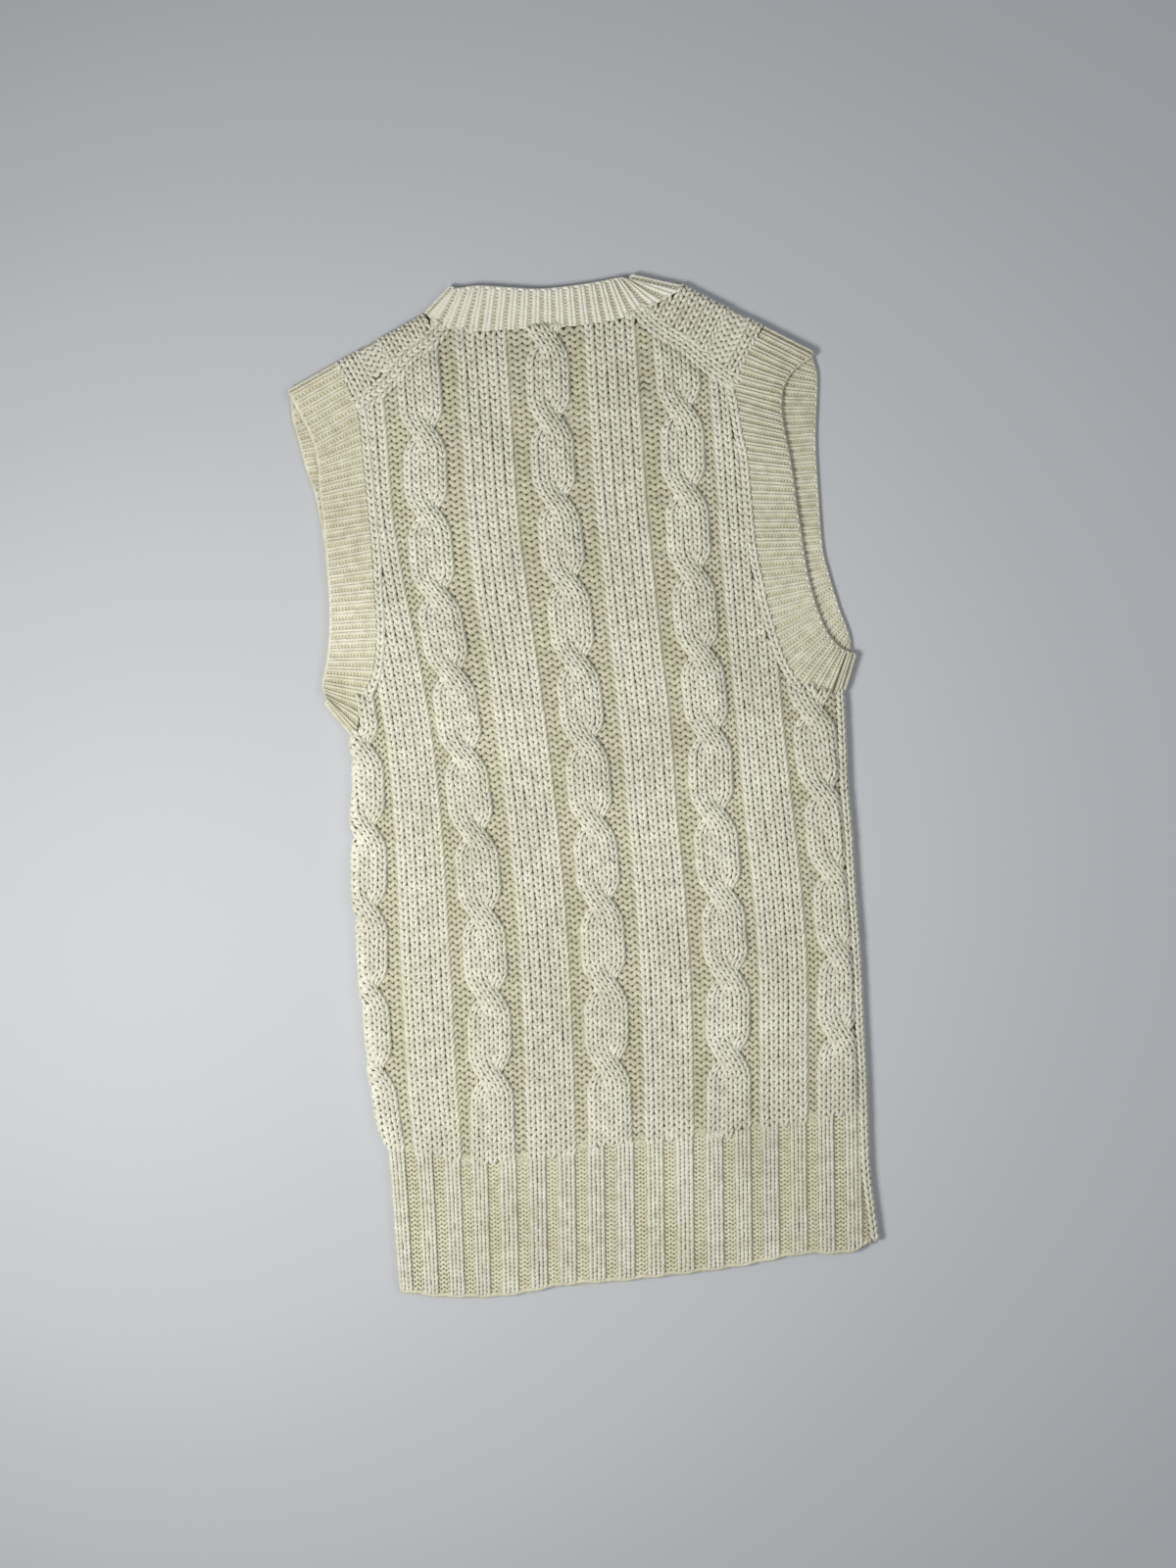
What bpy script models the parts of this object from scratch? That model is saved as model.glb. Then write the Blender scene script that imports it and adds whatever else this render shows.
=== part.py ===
"""Cable-knit sweater vest, lying flat with its back up.

The front panel lies face down on the ground and the back panel lies on it. The front
rolls over both shoulders and over the right side onto the back, and the back rolls
under at the left side. Ribbed bands finish the neck and the armholes.

X runs across the vest, Y from hem to neck and Z up. The origin is the middle of the
vest's outline, on the ground. Sizes here are in millimetres and objects in metres.
"""

import math

import bmesh
import bpy
from mathutils import Vector
from mathutils.geometry import delaunay_2d_cdt

MM = 0.001
ORIGIN_X = 1.9  # the outline's middle, in the tables' own axes
ORIGIN_Y = 3.0

# ---- cloth ----
PLAIN = 2.8  # thickness of plain knitting
PURL = 1.8  # of the sunken purl columns beside each cable
STOCKING = 3.0  # of the smooth panels between the cables
CABLE = 5.4  # of a cable at its middle
CROSSING_RISE = 1.0  # how much higher the upper strand is where two strands cross
CROSSING_DIP = 2.0  # how much lower the other one is
RIB_CREST = 3.3
RIB_TROUGH = 1.9
EDGE_SHARE = 0.62  # an edge's thickness, as a share of the cloth beside it
SEAM = 0.35  # gap between two pieces that are sewn together
NECK_CLEARANCE = 0.8  # from the neckband's rolled edge to the shoulder's

# ---- how the layers lie ----
HOLLOW_RADIUS = 0.5  # inside a rolled edge
FOLD_RADIUS = HOLLOW_RADIUS + PLAIN  # outside a rolled edge
FOLD_HEIGHT = FOLD_RADIUS  # of a rolled edge's axis above the ground
ROLL_LENGTH = math.pi * FOLD_RADIUS  # of cloth round a rolled edge
ROLL_STEPS = 6
UNDER_STRIP = 3.0  # of the back panel that lies flat under the left edge
OVER_STRIP = 5.5  # from the right edge in to the side seam
SAG = 1.8  # of the back panel into the neck opening of the front
SAG_MARGIN = 4.0  # it starts this far inside the opening
SAG_RUN = 30.0
SAG_TOP = 285.0

# ---- cables and ribs ----
UPPER_HALF = 8.4  # of the strand that goes over, half its width
UPPER_SWING = 5.6  # from the cable's middle to the strand's
LOWER_HALF = 5.8
LOWER_SWING = 8.1
GUTTER_START = 17.0  # from the cable's middle
GUTTER_SLOPE = 2.5  # of cloth from the purl columns up to the smooth panel
PANEL_HALF = 7.3  # half a smooth panel's width, without the next share
PANEL_SHARE = 0.11  # of the distance between two cables, which half a panel has besides
FIRST_CROSSING = 274.0
CROSSING_PITCH = 49.5
CROSSINGS = 10
CROSSING_SHARE = 0.3  # of the pitch, from a strand's straight run to the crossing
RIBS_PER_REPEAT = 4  # from one cable to the next
RIB_RUN = 6.0  # of cloth from the cables to full ribbing
SHOULDER_GUTTER = (32, 44)  # the purl columns on a shoulder, from its neck end
BAND_RIB_PITCH = 6.35
PLAIN_STEP = 12.0  # between lines across a band that lies hidden

# ---- points of the panels ----
OUTLINE_STEP = 6.0
SIDE_STEP = 8.0
RIM = 2.6  # from the outline to the first row of points inside it
LEAST_GAP = 1.7  # from a point to the outline
INNER_STEP = 28.0  # between points of a panel's plain side
STRIP_STEP = 24.0  # between points along a plain rolled edge
CABLE_OFFSETS = (-13.8, -10.5, -5.6, 0, 5.6, 10.5, 13.8)
CABLE_SHARES = (0, 0.08, 0.17, 0.28, 0.5, 0.72, 0.83, 0.92)  # of the way to the next crossing
GUTTER_SHARES = (0, 0.5)
HEM_PARTS = (0, 0.1, 0.5, 0.92)  # of the way down the ribbing

# Middle of each cable across the back, at heights up the vest.
# y, left, first, middle, third, right
CABLE_ROWS = (
    (330, -158, -82, 0, 77, 142),
    (225, -158, -83, -5, 75, 142),
    (176, -157, -85, -6, 73, 142),
    (130, -150, -85, -5, 72, 140),
    (80, -143.5, -81, -4, 72, 138.5),
    (30, -140.5, -78, -3, 73, 137),
    (-20, -143, -76, -3, 71, 139),
    (-70, -147, -76, -3, 71, 140),
    (-120, -151, -77, -5, 70, 139),
    (-172, -152, -80, -8, 66, 134),
    (-215, -150.5, -83, -11, 62, 130),
    (-310, -153, -90, -19, 54, 122),
)
CABLE_LIFT = (9, 0, 0, -2, 5)  # of each cable's crossings above the middle one's
FIRST_CROSSING_SHOWN = (5, 1, 0, 1, 5)  # the armholes cut the higher ones away

# Sides of the lying vest. y, x
LEFT_EDGE = (
    (60, -144),
    (40, -144),
    (14, -145.5),
    (-4, -148),
    (-28, -150),
    (-52, -152),
    (-100, -152.5),
    (-172, -152),
    (-190, -151),
    (-209, -148.5),
    (-227, -147.5),
    (-257, -148),
    (-310, -148),
)
RIGHT_EDGE = (
    (60, 159),
    (42, 158.5),
    (11, 157),
    (-15, 155.5),
    (-50, 155),
    (-75, 154),
    (-120, 153),
    (-158, 151),
    (-201, 149),
    (-231, 147),
    (-255, 146),
    (-273, 146.5),
    (-310, 148),
)
SIDE_TOP = 40.5  # where both sides meet the armhole bands
UNDER_TOP = 50.0  # where the hidden side seam does

# Lower edge of the back, and upper end of its ribbing. x, y
HEM = (
    (-170, -297),
    (-148, -298),
    (-124, -303),
    (-94, -306),
    (-76, -306),
    (-51, -303.5),
    (-9, -304),
    (27, -303.5),
    (63, -302),
    (100, -298.5),
    (127, -300.5),
    (141, -296),
    (170, -292),
)
RIB_TOP = (
    (-170, -206),
    (-148, -209),
    (-86, -224),
    (-1, -221),
    (96, -219),
    (138, -215),
    (170, -212),
)
FRONT_RISE = 2.5  # of the front's lower edge above the back's

# Rolled edges at the shoulders as seen from above: the neck's end, the sleeve's end.
LEFT_SHOULDER = ((-77, 296), (-164, 258))
RIGHT_SHOULDER = ((84, 299), (161, 250))

# Shoulder seams on the back, from the neck outwards. x, y
LEFT_SHOULDER_SEAM = (
    (-67, 285.5),
    (-73, 280.5),
    (-81, 276),
    (-89, 271),
    (-97, 262),
    (-104, 255),
    (-112, 250),
    (-121, 245.3),
)
RIGHT_SHOULDER_SEAM = (
    (57, 284.5),
    (63, 277),
    (72, 269.5),
    (82, 262),
    (89, 254.5),
    (97, 246.5),
    (108.3, 237),
)

# Lines of ribbing across each band, from its seamed edge to its free edge, in the order
# that the band runs: up one layer from the underarm and down the other.
# seam_x, seam_y, free_x, free_y
LEFT_BAND_FRONT = (
    (-137, 56.5, -157.8, 72.5),
    (-133, 68, -157, 79),
    (-128, 85, -155, 90),
    (-125, 105, -152, 106),
    (-123, 130, -150.5, 130),
    (-123, 160, -150.5, 160),
    (-125, 190, -153, 191),
    (-128, 210, -157, 208),
    (-130.5, 230, -160, 226),
    (-131.3, 250, -162.5, 240),
)
LEFT_BAND_BACK = (
    (-125.5, 255, -157, 241),
    (-122, 245, -153, 231),
    (-121, 233, -150.5, 221),
    (-121, 216, -149.5, 209),
    (-121, 198, -150, 194),
    (-121, 180, -149.5, 178),
    (-121, 157, -150, 154),
    (-122, 129, -150.5, 129),
    (-122.5, 110, -152, 111),
    (-125, 92, -155, 94),
    (-128.5, 79, -158, 84),
    (-134, 69, -160, 77),
    (-138, 58, -159.3, 71),
)
RIGHT_BAND_BACK = (
    (150.5, 39.8, 162.6, 66.2),
    (142, 42, 159.5, 68),
    (132, 49, 155, 73),
    (125, 62, 151, 80),
    (121, 76, 148, 89),
    (117, 97, 145, 102),
    (115, 115, 143, 116),
    (113, 134, 142, 132),
    (113, 162, 140.5, 159),
    (113, 190, 139.5, 184),
    (111, 207, 138, 199),
    (110, 224, 137, 213),
    (109, 235, 138, 225),
    (112.5, 245, 141, 233),
    (120, 256, 147, 240),
)
RIGHT_BAND_FRONT = (
    (131.5, 247, 161, 236),
    (131, 222, 159, 219),
    (129, 195, 156, 195),
    (127, 160, 154.5, 160),
    (127, 130, 154, 131),
    (129, 110, 156, 116),
    (132, 90, 158.5, 103),
    (136, 74, 161, 91),
    (142, 60, 164, 81),
    (149, 50, 165.3, 73),
)
NECKBAND_LEFT = (
    (16.3, 127, 16.3, 150),
    (0, 146, 10.5, 167),
    (-28, 178, -7, 190),
    (-50, 213, -27, 221),
    (-65, 245, -41, 251),
    (-73, 275, -49, 285),
)
NECKBAND_BACK = (
    (-66, 287, -52, 310.5),
    (-54, 284, -43, 311),
    (-42, 282, -35, 310),
    (-25, 281.5, -20, 307.5),
    (-8, 281, -5, 305.3),
    (8, 280, 9, 305),
    (25, 280, 24, 305.5),
    (42, 281.3, 37, 306.5),
    (56, 284.7, 44, 307.3),
    (68, 289, 48, 307),
)
NECKBAND_RIGHT = (
    (77, 275, 55, 287),
    (69, 245, 46, 251),
    (57, 213, 35, 221),
    (41, 175, 25, 188),
    (25, 143, 18.6, 166),
    (16.7, 127, 16.7, 150),
)
V_POINT = (16.5, 124.5)  # the front's neckline is cut down to here

# Rolled edges of the bands as seen from above: the seamed edge's end, the free edge's.
LEFT_UNDERARM = ((-144, 42), (-160, 66))
RIGHT_UNDERARM = ((159, 42), (168, 64))
LEFT_BAND_SHOULDER = ((-131, 272.4), (-164, 258))
RIGHT_BAND_SHOULDER = ((131, 269.1), (161, 250))
LEFT_NECK_ROLL = ((-75.5, 297), (-57.5, 313))
RIGHT_NECK_ROLL = ((83.2, 298.8), (52, 309))
VEST_MIDDLE = (0, 100)  # every rolled edge turns over away from here

CREAM = (0.80, 0.77, 0.62, 1.0)
ROUGHNESS = 0.9


# ---------------------------------------------------------------- curves and measures
def mix(a, b, share):
    return a + (b - a) * share


def smoothstep(value):
    value = min(max(value, 0.0), 1.0)
    return value * value * (3 - 2 * value)


def table_value(rows, at, column=1):
    """A column of a table at a value of its first column, on a smooth curve through its rows."""
    if rows[0][0] > rows[-1][0]:
        rows = rows[::-1]
    last = len(rows) - 1
    k = 0
    while k < last - 1 and rows[k + 1][0] < at:
        k += 1

    def slope(row):
        before, after = rows[max(row - 1, 0)], rows[min(row + 1, last)]
        return (after[column] - before[column]) / (after[0] - before[0])

    width = rows[k + 1][0] - rows[k][0]
    share = min(max((at - rows[k][0]) / width, 0.0), 1.0)
    rise = rows[k + 1][column] - rows[k][column]
    bend = (slope(k) * width - rise) * (1 - share) + (rise - slope(k + 1) * width) * share
    return rows[k][column] + rise * share + share * (1 - share) * bend


def curve_point(points, at):
    """A point on the smooth curve through the points; at runs from 0 to their count - 1."""
    last = len(points) - 1
    k = min(int(at), last - 1)
    t = at - k
    weights = (
        (-t + 2 * t**2 - t**3) / 2,
        (2 - 5 * t**2 + 3 * t**3) / 2,
        (t + 4 * t**2 - 3 * t**3) / 2,
        (-(t**2) + t**3) / 2,
    )
    near = [points[min(max(j, 0), last)] for j in range(k - 1, k + 3)]
    return tuple(sum(w * value for w, value in zip(weights, values)) for values in zip(*near))


def even_points(points, step=OUTLINE_STEP, multiple=1):
    """Points about a step apart on the smooth curve through the points, both ends included.
    The number of steps is a multiple of the last argument."""
    pieces = 16 * (len(points) - 1)
    fine = [curve_point(points, k / 16) for k in range(pieces + 1)]
    reach = [0.0]
    for a, b in zip(fine, fine[1:]):
        reach.append(reach[-1] + math.dist(a, b))
    count = max(1, round(reach[-1] / (step * multiple))) * multiple
    found = []
    k = 0
    for j in range(count + 1):
        wanted = reach[-1] * j / count
        while k < pieces - 1 and reach[k + 1] < wanted:
            k += 1
        share = (wanted - reach[k]) / (reach[k + 1] - reach[k])
        found.append(tuple(mix(a, b, share) for a, b in zip(fine[k], fine[k + 1])))
    return found


def moved_left(points, distance, closed=False):
    """The line of points moved to its own left."""
    found = []
    last = len(points) - 1
    for k, here in enumerate(points):
        before = points[k - 1] if closed or k else here
        after = points[0 if closed and k == last else min(k + 1, last)]
        way = Vector((after[0] - before[0], after[1] - before[1])).normalized()
        found.append((here[0] - way.y * distance, here[1] + way.x * distance))
    return found


def seam_side(rows):
    return [(row[0], row[1]) for row in rows]


def heights(low, high, step):
    count = round((high - low) / step)
    return [mix(low, high, k / count) for k in range(count + 1)]


# ---------------------------------------------------------------- rolled edges
class Roll:
    """A straight edge where cloth turns over. Its two ends are given as seen from above,
    and its axis lies a fold's radius inside them."""

    def __init__(self, start, end):
        self.along = Vector((end[0] - start[0], end[1] - start[1])).normalized()
        self.out = Vector((-self.along.y, self.along.x))
        if self.out.dot(Vector(start) - Vector(VEST_MIDDLE)) < 0:
            self.out.negate()
        self.start = Vector(start) - self.out * FOLD_RADIUS
        self.end = Vector(end) - self.out * FOLD_RADIUS
        self.row = (*self.start, *self.end)

    def past(self, x, y):
        """How far a point of the unrolled cloth lies past the start of the turn."""
        return (Vector((x, y)) - self.start).dot(self.out)

    def unrolled(self, points):
        """Where points of the layer that has turned over lie on the unrolled cloth."""
        found = []
        for x, y in points:
            spot = Vector((x, y)) + self.out * (ROLL_LENGTH - 2 * self.past(x, y))
            found.append((spot.x, spot.y))
        return found

    def across(self, point):
        """Points across the turn on the unrolled cloth, from one on its axis."""
        steps = [Vector(point) + self.out * (ROLL_LENGTH * k / ROLL_STEPS) for k in range(ROLL_STEPS + 1)]
        return [(step.x, step.y) for step in steps]


def rolled(distance, wall):
    """How far out and how high above the roll's axis a point lies, by its distance past
    the start of the turn and its height in the wall."""
    turn = min(max(distance, 0.0) / FOLD_RADIUS, math.pi)
    reach = HOLLOW_RADIUS + wall
    out = min(distance, 0.0) + reach * math.sin(turn) - max(distance - ROLL_LENGTH, 0.0)
    return out, reach * math.cos(turn)


LEFT_TURN = Roll(*LEFT_SHOULDER)
RIGHT_TURN = Roll(*RIGHT_SHOULDER)


def left_edge(y):
    return table_value(LEFT_EDGE, y)


def right_edge(y):
    return table_value(RIGHT_EDGE, y)


# ---------------------------------------------------------------- the back's knitting
def cable_middles(y):
    return [table_value(CABLE_ROWS, y, column) for column in range(1, 6)]


def crossing_height(cable, number):
    return FIRST_CROSSING - CROSSING_PITCH * number + CABLE_LIFT[cable]


def strand_wall(offset, half, crest):
    return PURL + (crest - PURL) * math.sqrt(max(1 - (offset / half) ** 2, 0.0))


def cable_wall(cable, offset, y):
    """Thickness of a cable, by the distance from its middle."""
    number = round((crossing_height(cable, 0) - y) / CROSSING_PITCH)
    number = min(max(number, FIRST_CROSSING_SHOWN[cable]), CROSSINGS - 1)
    t = (crossing_height(cable, number) - y) / CROSSING_PITCH / CROSSING_SHARE
    swing = math.sin(0.5 * math.pi * min(max(t, -1), 1))
    near = 1 - smoothstep(abs(t))
    upper = strand_wall(offset - UPPER_SWING * swing, UPPER_HALF, CABLE + CROSSING_RISE * near)
    lower = strand_wall(offset + LOWER_SWING * swing, LOWER_HALF, CABLE - CROSSING_DIP * near)
    whole = strand_wall(offset, UPPER_HALF + UPPER_SWING, mix(CABLE, PURL, near))
    return max(upper, lower, whole)


def rib_wall(share):
    """Thickness of the hem's ribbing, by the share of the way from one cable to the next."""
    wave = math.cos(2 * math.pi * RIBS_PER_REPEAT * share)
    return mix(RIB_TROUGH, RIB_CREST, 0.5 - 0.5 * wave)


def panel_half(pitch):
    """Half the width of a smooth panel, by the distance between the cables beside it."""
    return PANEL_HALF + PANEL_SHARE * pitch


def back_wall(x, y):
    """Thickness of the back panel."""
    middles = cable_middles(y)
    cable = min(range(len(middles)), key=lambda k: abs(x - middles[k]))
    offset = x - middles[cable]
    right = min(max(cable + (offset > 0), 1), len(middles) - 1)
    pitch = middles[right] - middles[right - 1]
    share = (x - middles[right - 1]) / pitch
    if abs(offset) < GUTTER_START:
        body = cable_wall(cable, offset, y)
    else:
        inside = panel_half(pitch) - abs(share - 0.5) * pitch
        body = mix(PURL, STOCKING, smoothstep(inside / GUTTER_SLOPE))
    ribbed = smoothstep((table_value(RIB_TOP, x) - y) / RIB_RUN)
    return mix(body, rib_wall(share), ribbed)


def sag(x, y):
    """How far the back panel sinks into the neck opening below it."""
    left = [(row[3], row[2]) for row in NECKBAND_LEFT]
    right = [(row[3], row[2]) for row in NECKBAND_RIGHT]
    inside = min(x - table_value(left, y), table_value(right, y) - x, y - left[0][0])
    return SAG * smoothstep((inside - SAG_MARGIN) / SAG_RUN) * smoothstep((SAG_TOP - y) / SAG_RUN)


def place_back(x, y, share):
    """A point of the back panel, at a share of its wall from the inside. Its unrolled cloth
    runs on past the left edge."""
    start = left_edge(y) + FOLD_RADIUS
    distance = start - x
    flat = smoothstep((distance / ROLL_LENGTH - 0.35) / 0.4)
    out, height = rolled(distance, share * mix(back_wall(x, y), PLAIN, flat))
    return (start - out, y, FOLD_HEIGHT + height - sag(x, y))


# ---------------------------------------------------------------- the front's knitting
def shoulder_wall(along):
    """Thickness of a shoulder where it lies on the back, by the way from its neck end."""
    middle = sum(SHOULDER_GUTTER) / 2
    past = abs(along - middle) - (SHOULDER_GUTTER[1] - middle)
    return mix(PURL, STOCKING, smoothstep(past / GUTTER_SLOPE + 1))


def place_front(x, y, share):
    """A point of the front panel, at a share of its wall from the inside. Its unrolled
    cloth runs on past the shoulders and the right edge."""
    for turn in (LEFT_TURN, RIGHT_TURN):
        distance = turn.past(x, y)
        if distance > 0:
            along = (Vector((x, y)) - turn.start).dot(turn.along)
            over = smoothstep((distance / ROLL_LENGTH - 0.25) / 0.4)
            out, height = rolled(distance, share * mix(PLAIN, shoulder_wall(along), over))
            spot = Vector((x, y)) + turn.out * (out - distance)
            return (spot.x, spot.y, FOLD_HEIGHT - height)
    start = right_edge(y) - FOLD_RADIUS
    out, height = rolled(x - start, share * PLAIN)
    return (start + out, y, FOLD_HEIGHT - height)


# ---------------------------------------------------------------- solids
def inside_outline(point, outline):
    x, y = point
    inside = False
    for (ax, ay), (bx, by) in zip(outline, outline[1:] + outline[:1]):
        if (ay > y) != (by > y) and x < ax + (y - ay) * (bx - ax) / (by - ay):
            inside = not inside
    return inside


def edge_distance(point, outline):
    spot = Vector(point)
    nearest = math.inf
    for a, b in zip(outline, outline[1:] + outline[:1]):
        side = Vector(b) - Vector(a)
        share = min(max((spot - Vector(a)).dot(side) / side.length_squared, 0.0), 1.0)
        nearest = min(nearest, (spot - Vector(a) - side * share).length)
    return nearest


def spread_points(lines, outline):
    """The points of the lines that lie inside the outline, each clear of it and of those
    before it, and the links between neighbours on a line."""
    found = []
    links = []
    for line in lines:
        linked = False
        for point in line:
            kept = inside_outline(point, outline) and edge_distance(point, outline) > LEAST_GAP
            kept = kept and all(math.dist(point, other) > LEAST_GAP for other in found)
            if kept:
                found.append(point)
                if linked:
                    links.append((len(found) - 2, len(found) - 1))
            linked = kept
    return found, links


def flat_points(points, place):
    """Those of the points that a rolled edge doesn't move."""
    return [(x, y) for x, y in points if math.dist(place(x, y, 0)[:2], (x, y)) < 1e-6]


def grid_points(outline, place):
    xs, ys = zip(*outline)
    rows = heights(min(ys), max(ys), INNER_STEP)
    return flat_points([(x, y) for x in heights(min(xs), max(xs), INNER_STEP) for y in rows], place)


def wool(name):
    material = bpy.data.materials.new(name)
    material.use_nodes = True
    shader = material.node_tree.nodes["Principled BSDF"]
    shader.inputs["Base Color"].default_value = CREAM
    shader.inputs["Roughness"].default_value = ROUGHNESS
    shader.inputs["Metallic"].default_value = 0.0
    return material


def make_solid(name, spots, faces):
    """A closed solid with its faces outwards, from places in millimetres."""
    mesh = bpy.data.meshes.new(name)
    places = [((x - ORIGIN_X) * MM, (y - ORIGIN_Y) * MM, z * MM) for x, y, z in spots]
    mesh.from_pydata(places, [], faces)
    form = bmesh.new()
    form.from_mesh(mesh)
    bmesh.ops.recalc_face_normals(form, faces=form.faces)
    bmesh.ops.triangulate(form, faces=form.faces)
    form.to_mesh(mesh)
    form.free()
    mesh.shade_smooth()
    mesh.set_sharp_from_angle(angle=math.radians(50))
    mesh.materials.append(wool(name))
    body = bpy.data.objects.new(name, mesh)
    bpy.context.scene.collection.objects.link(body)
    return body


def make_panel(name, outline, outer_lines, inner_lines, place):
    """A panel of cloth from its outline on the unrolled cloth, and the lines of points on
    its outer side and on its plain inner side."""
    ring = list(range(len(outline)))
    rim = [[point] for point in moved_left(outline, RIM, closed=True)]
    grid = [[point] for point in grid_points(outline, place)]
    spots = []
    faces = []
    for lines, edge_share, share in ((outer_lines + rim + grid, EDGE_SHARE, 1), (inner_lines + grid, 0, 0)):
        points, links = spread_points(lines, outline)
        flat = [Vector(point) for point in outline + points]
        links = [(a + len(ring), b + len(ring)) for a, b in links]
        net = delaunay_2d_cdt(flat, links, [ring], 1, 1e-7)
        first = len(spots)
        spots += [place(x, y, edge_share) for x, y in outline]
        spots += [place(x, y, share) for x, y in points]
        faces += [[first + k for k in face] for face in net[2]]
    for k in ring:
        after = (k + 1) % len(ring)
        faces.append([k, after, first + after, first + k])
    return make_solid(name, spots, faces)


# A line across a band: its two ends, the way its rolled edge turns, how far it has
# turned, and where the inner and outer sides of the wall lie.
BAND_SIDE = (0.0, 0.07, 0.93, 1.0)  # places across a band's outer side


def flat_lines(rows, on_top, ribbed):
    """Lines across a band where it lies flat on the back, or under it on the ground."""
    step = BAND_RIB_PITCH / 2 if ribbed else PLAIN_STEP
    turn = 0.0 if on_top else math.pi
    lines = []
    for k, row in enumerate(even_points(rows, step * math.sqrt(2), 2)):
        crest = RIB_CREST if k % 2 else RIB_TROUGH
        if on_top:
            walls = (0.0, crest)
        elif ribbed:
            walls = (PLAIN - crest, PLAIN)
        else:
            walls = (0.0, PLAIN)
        lines.append((row, Vector((0, 0)), turn, walls))
    return lines


def rolled_lines(roll, to_top):
    """Lines across a band round a rolled edge, whose ribs fade towards the ground."""
    lines = []
    for k in range(1, ROLL_STEPS):
        turn = math.pi * k / ROLL_STEPS
        if to_top:
            turn = math.pi - turn
        crest = RIB_CREST if k % 2 else RIB_TROUGH
        outer = mix(crest, PLAIN, smoothstep(turn / math.pi / 0.8))
        lines.append((roll.row, roll.out, turn, (0.0, outer)))
    return lines


def band_point(line, across, wall):
    row, out, turn, _ = line
    spot = Vector(row[:2]).lerp(Vector(row[2:]), across)
    reach = HOLLOW_RADIUS + wall
    spot += out * (reach * math.sin(turn))
    return (spot.x, spot.y, FOLD_HEIGHT + reach * math.cos(turn))


def make_band(name, lines):
    """A band through its lines, closed at both ends."""
    spots = []
    faces = []
    for line in lines:
        inner, outer = line[3]
        edge = mix(inner, outer, EDGE_SHARE)
        spots += [band_point(line, 0.0, inner), band_point(line, 1.0, inner)]
        for across in reversed(BAND_SIDE):
            spots.append(band_point(line, across, edge if across in (0.0, 1.0) else outer))
    size = 2 + len(BAND_SIDE)
    for start in range(0, len(spots) - size, size):
        for k in range(size):
            after = (k + 1) % size
            faces.append([start + k, start + after, start + size + after, start + size + k])
    faces.append(list(range(size)))
    faces.append(list(range(len(spots) - size, len(spots))))
    return make_solid(name, spots, faces)


def armhole_band(name, first, second, first_on_top, under_ribbed, shoulder, underarm):
    """A band that runs up one layer from its seam, over the shoulder and down the other
    layer, and round the underarm back to its seam."""
    seam = [value + step * SEAM for value, step in zip(first[0], (*underarm.out, *underarm.out))]
    second_on_top = not first_on_top
    lines = flat_lines([*first, shoulder.row], first_on_top, first_on_top or under_ribbed)
    lines += rolled_lines(shoulder, second_on_top)
    rows = [shoulder.row, *second, underarm.row]
    lines += flat_lines(rows, second_on_top, second_on_top or under_ribbed)
    lines += rolled_lines(underarm, first_on_top)
    lines += flat_lines([underarm.row, seam], first_on_top, first_on_top or under_ribbed)
    return make_band(name, lines)


def neckband():
    """The band runs up the left of the V from its point, across the back and down again."""
    left, right = Roll(*LEFT_NECK_ROLL), Roll(*RIGHT_NECK_ROLL)
    lines = flat_lines([*NECKBAND_LEFT, left.row], False, False)
    lines += rolled_lines(left, True)
    lines += flat_lines([left.row, *NECKBAND_BACK, right.row], True, True)
    lines += rolled_lines(right, False)
    lines += flat_lines([right.row, *NECKBAND_RIGHT], False, False)
    return make_band("neckband", lines)


# ---------------------------------------------------------------- the two panels
def body_heights(cable, shares):
    """Heights above the ribbing at shares of the way from each crossing to the next."""
    steps = [number + share for number in range(-1, CROSSINGS) for share in shares]
    ys = [crossing_height(cable, step) for step in steps]
    return [y for y in ys if y > table_value(RIB_TOP, cable_middles(y)[cable])]


def cable_lines():
    """Lines up each cable, with points closer together near its crossings."""
    lines = []
    for cable in range(5):
        ys = body_heights(cable, CABLE_SHARES)
        for offset in CABLE_OFFSETS:
            lines.append([(cable_middles(y)[cable] + offset, y) for y in ys])
    return lines


def gutter_points():
    """Points along both sides of the purl columns, each a line of its own, because the
    columns narrow to nothing beside the armholes."""
    points = []
    for cable in range(5):
        for y in body_heights(cable, GUTTER_SHARES):
            middles = cable_middles(y)
            points += [(middles[cable] + offset, y) for offset in (-GUTTER_START, GUTTER_START)]
            if cable < 4:
                near, far = middles[cable : cable + 2]
                for side in (-1, 1):
                    edge = mix(near, far, 0.5) + side * panel_half(far - near)
                    points += [(edge - side * slope, y) for slope in (0, GUTTER_SLOPE)]
    return [[point] for point in points]


def hem_spot(share, part):
    """A point of the hem's ribbing: the share counts the cables from the left one, and the
    part is 0 at the ribs' upper end and 1 at the lower edge."""
    y = -260.0
    for _ in range(4):
        middles = cable_middles(y)
        right = min(max(int(share) + 1, 1), len(middles) - 1)
        x = mix(middles[right - 1], middles[right], share - right + 1)
        y = mix(table_value(RIB_TOP, x) - 1.0, table_value(HEM, x), part)
    return (x, y)


def hem_lines():
    """Lines down the crests, flanks and troughs of the hem's ribs."""
    count = 4 * RIBS_PER_REPEAT
    return [[hem_spot(k / count, part) for part in HEM_PARTS] for k in range(-count, 6 * count)]


def side_turn_lines(edge, side, hem_end, step):
    """Lines along a side's rolled edge on the unrolled cloth; side is -1 on the left."""
    ys = heights(hem_end + RIM, SIDE_TOP - RIM, step)
    lines = []
    for k in range(ROLL_STEPS + 1):
        reach = ROLL_LENGTH * k / ROLL_STEPS - FOLD_RADIUS
        lines.append([(edge(y) + side * reach, y) for y in ys])
    return lines


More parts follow.
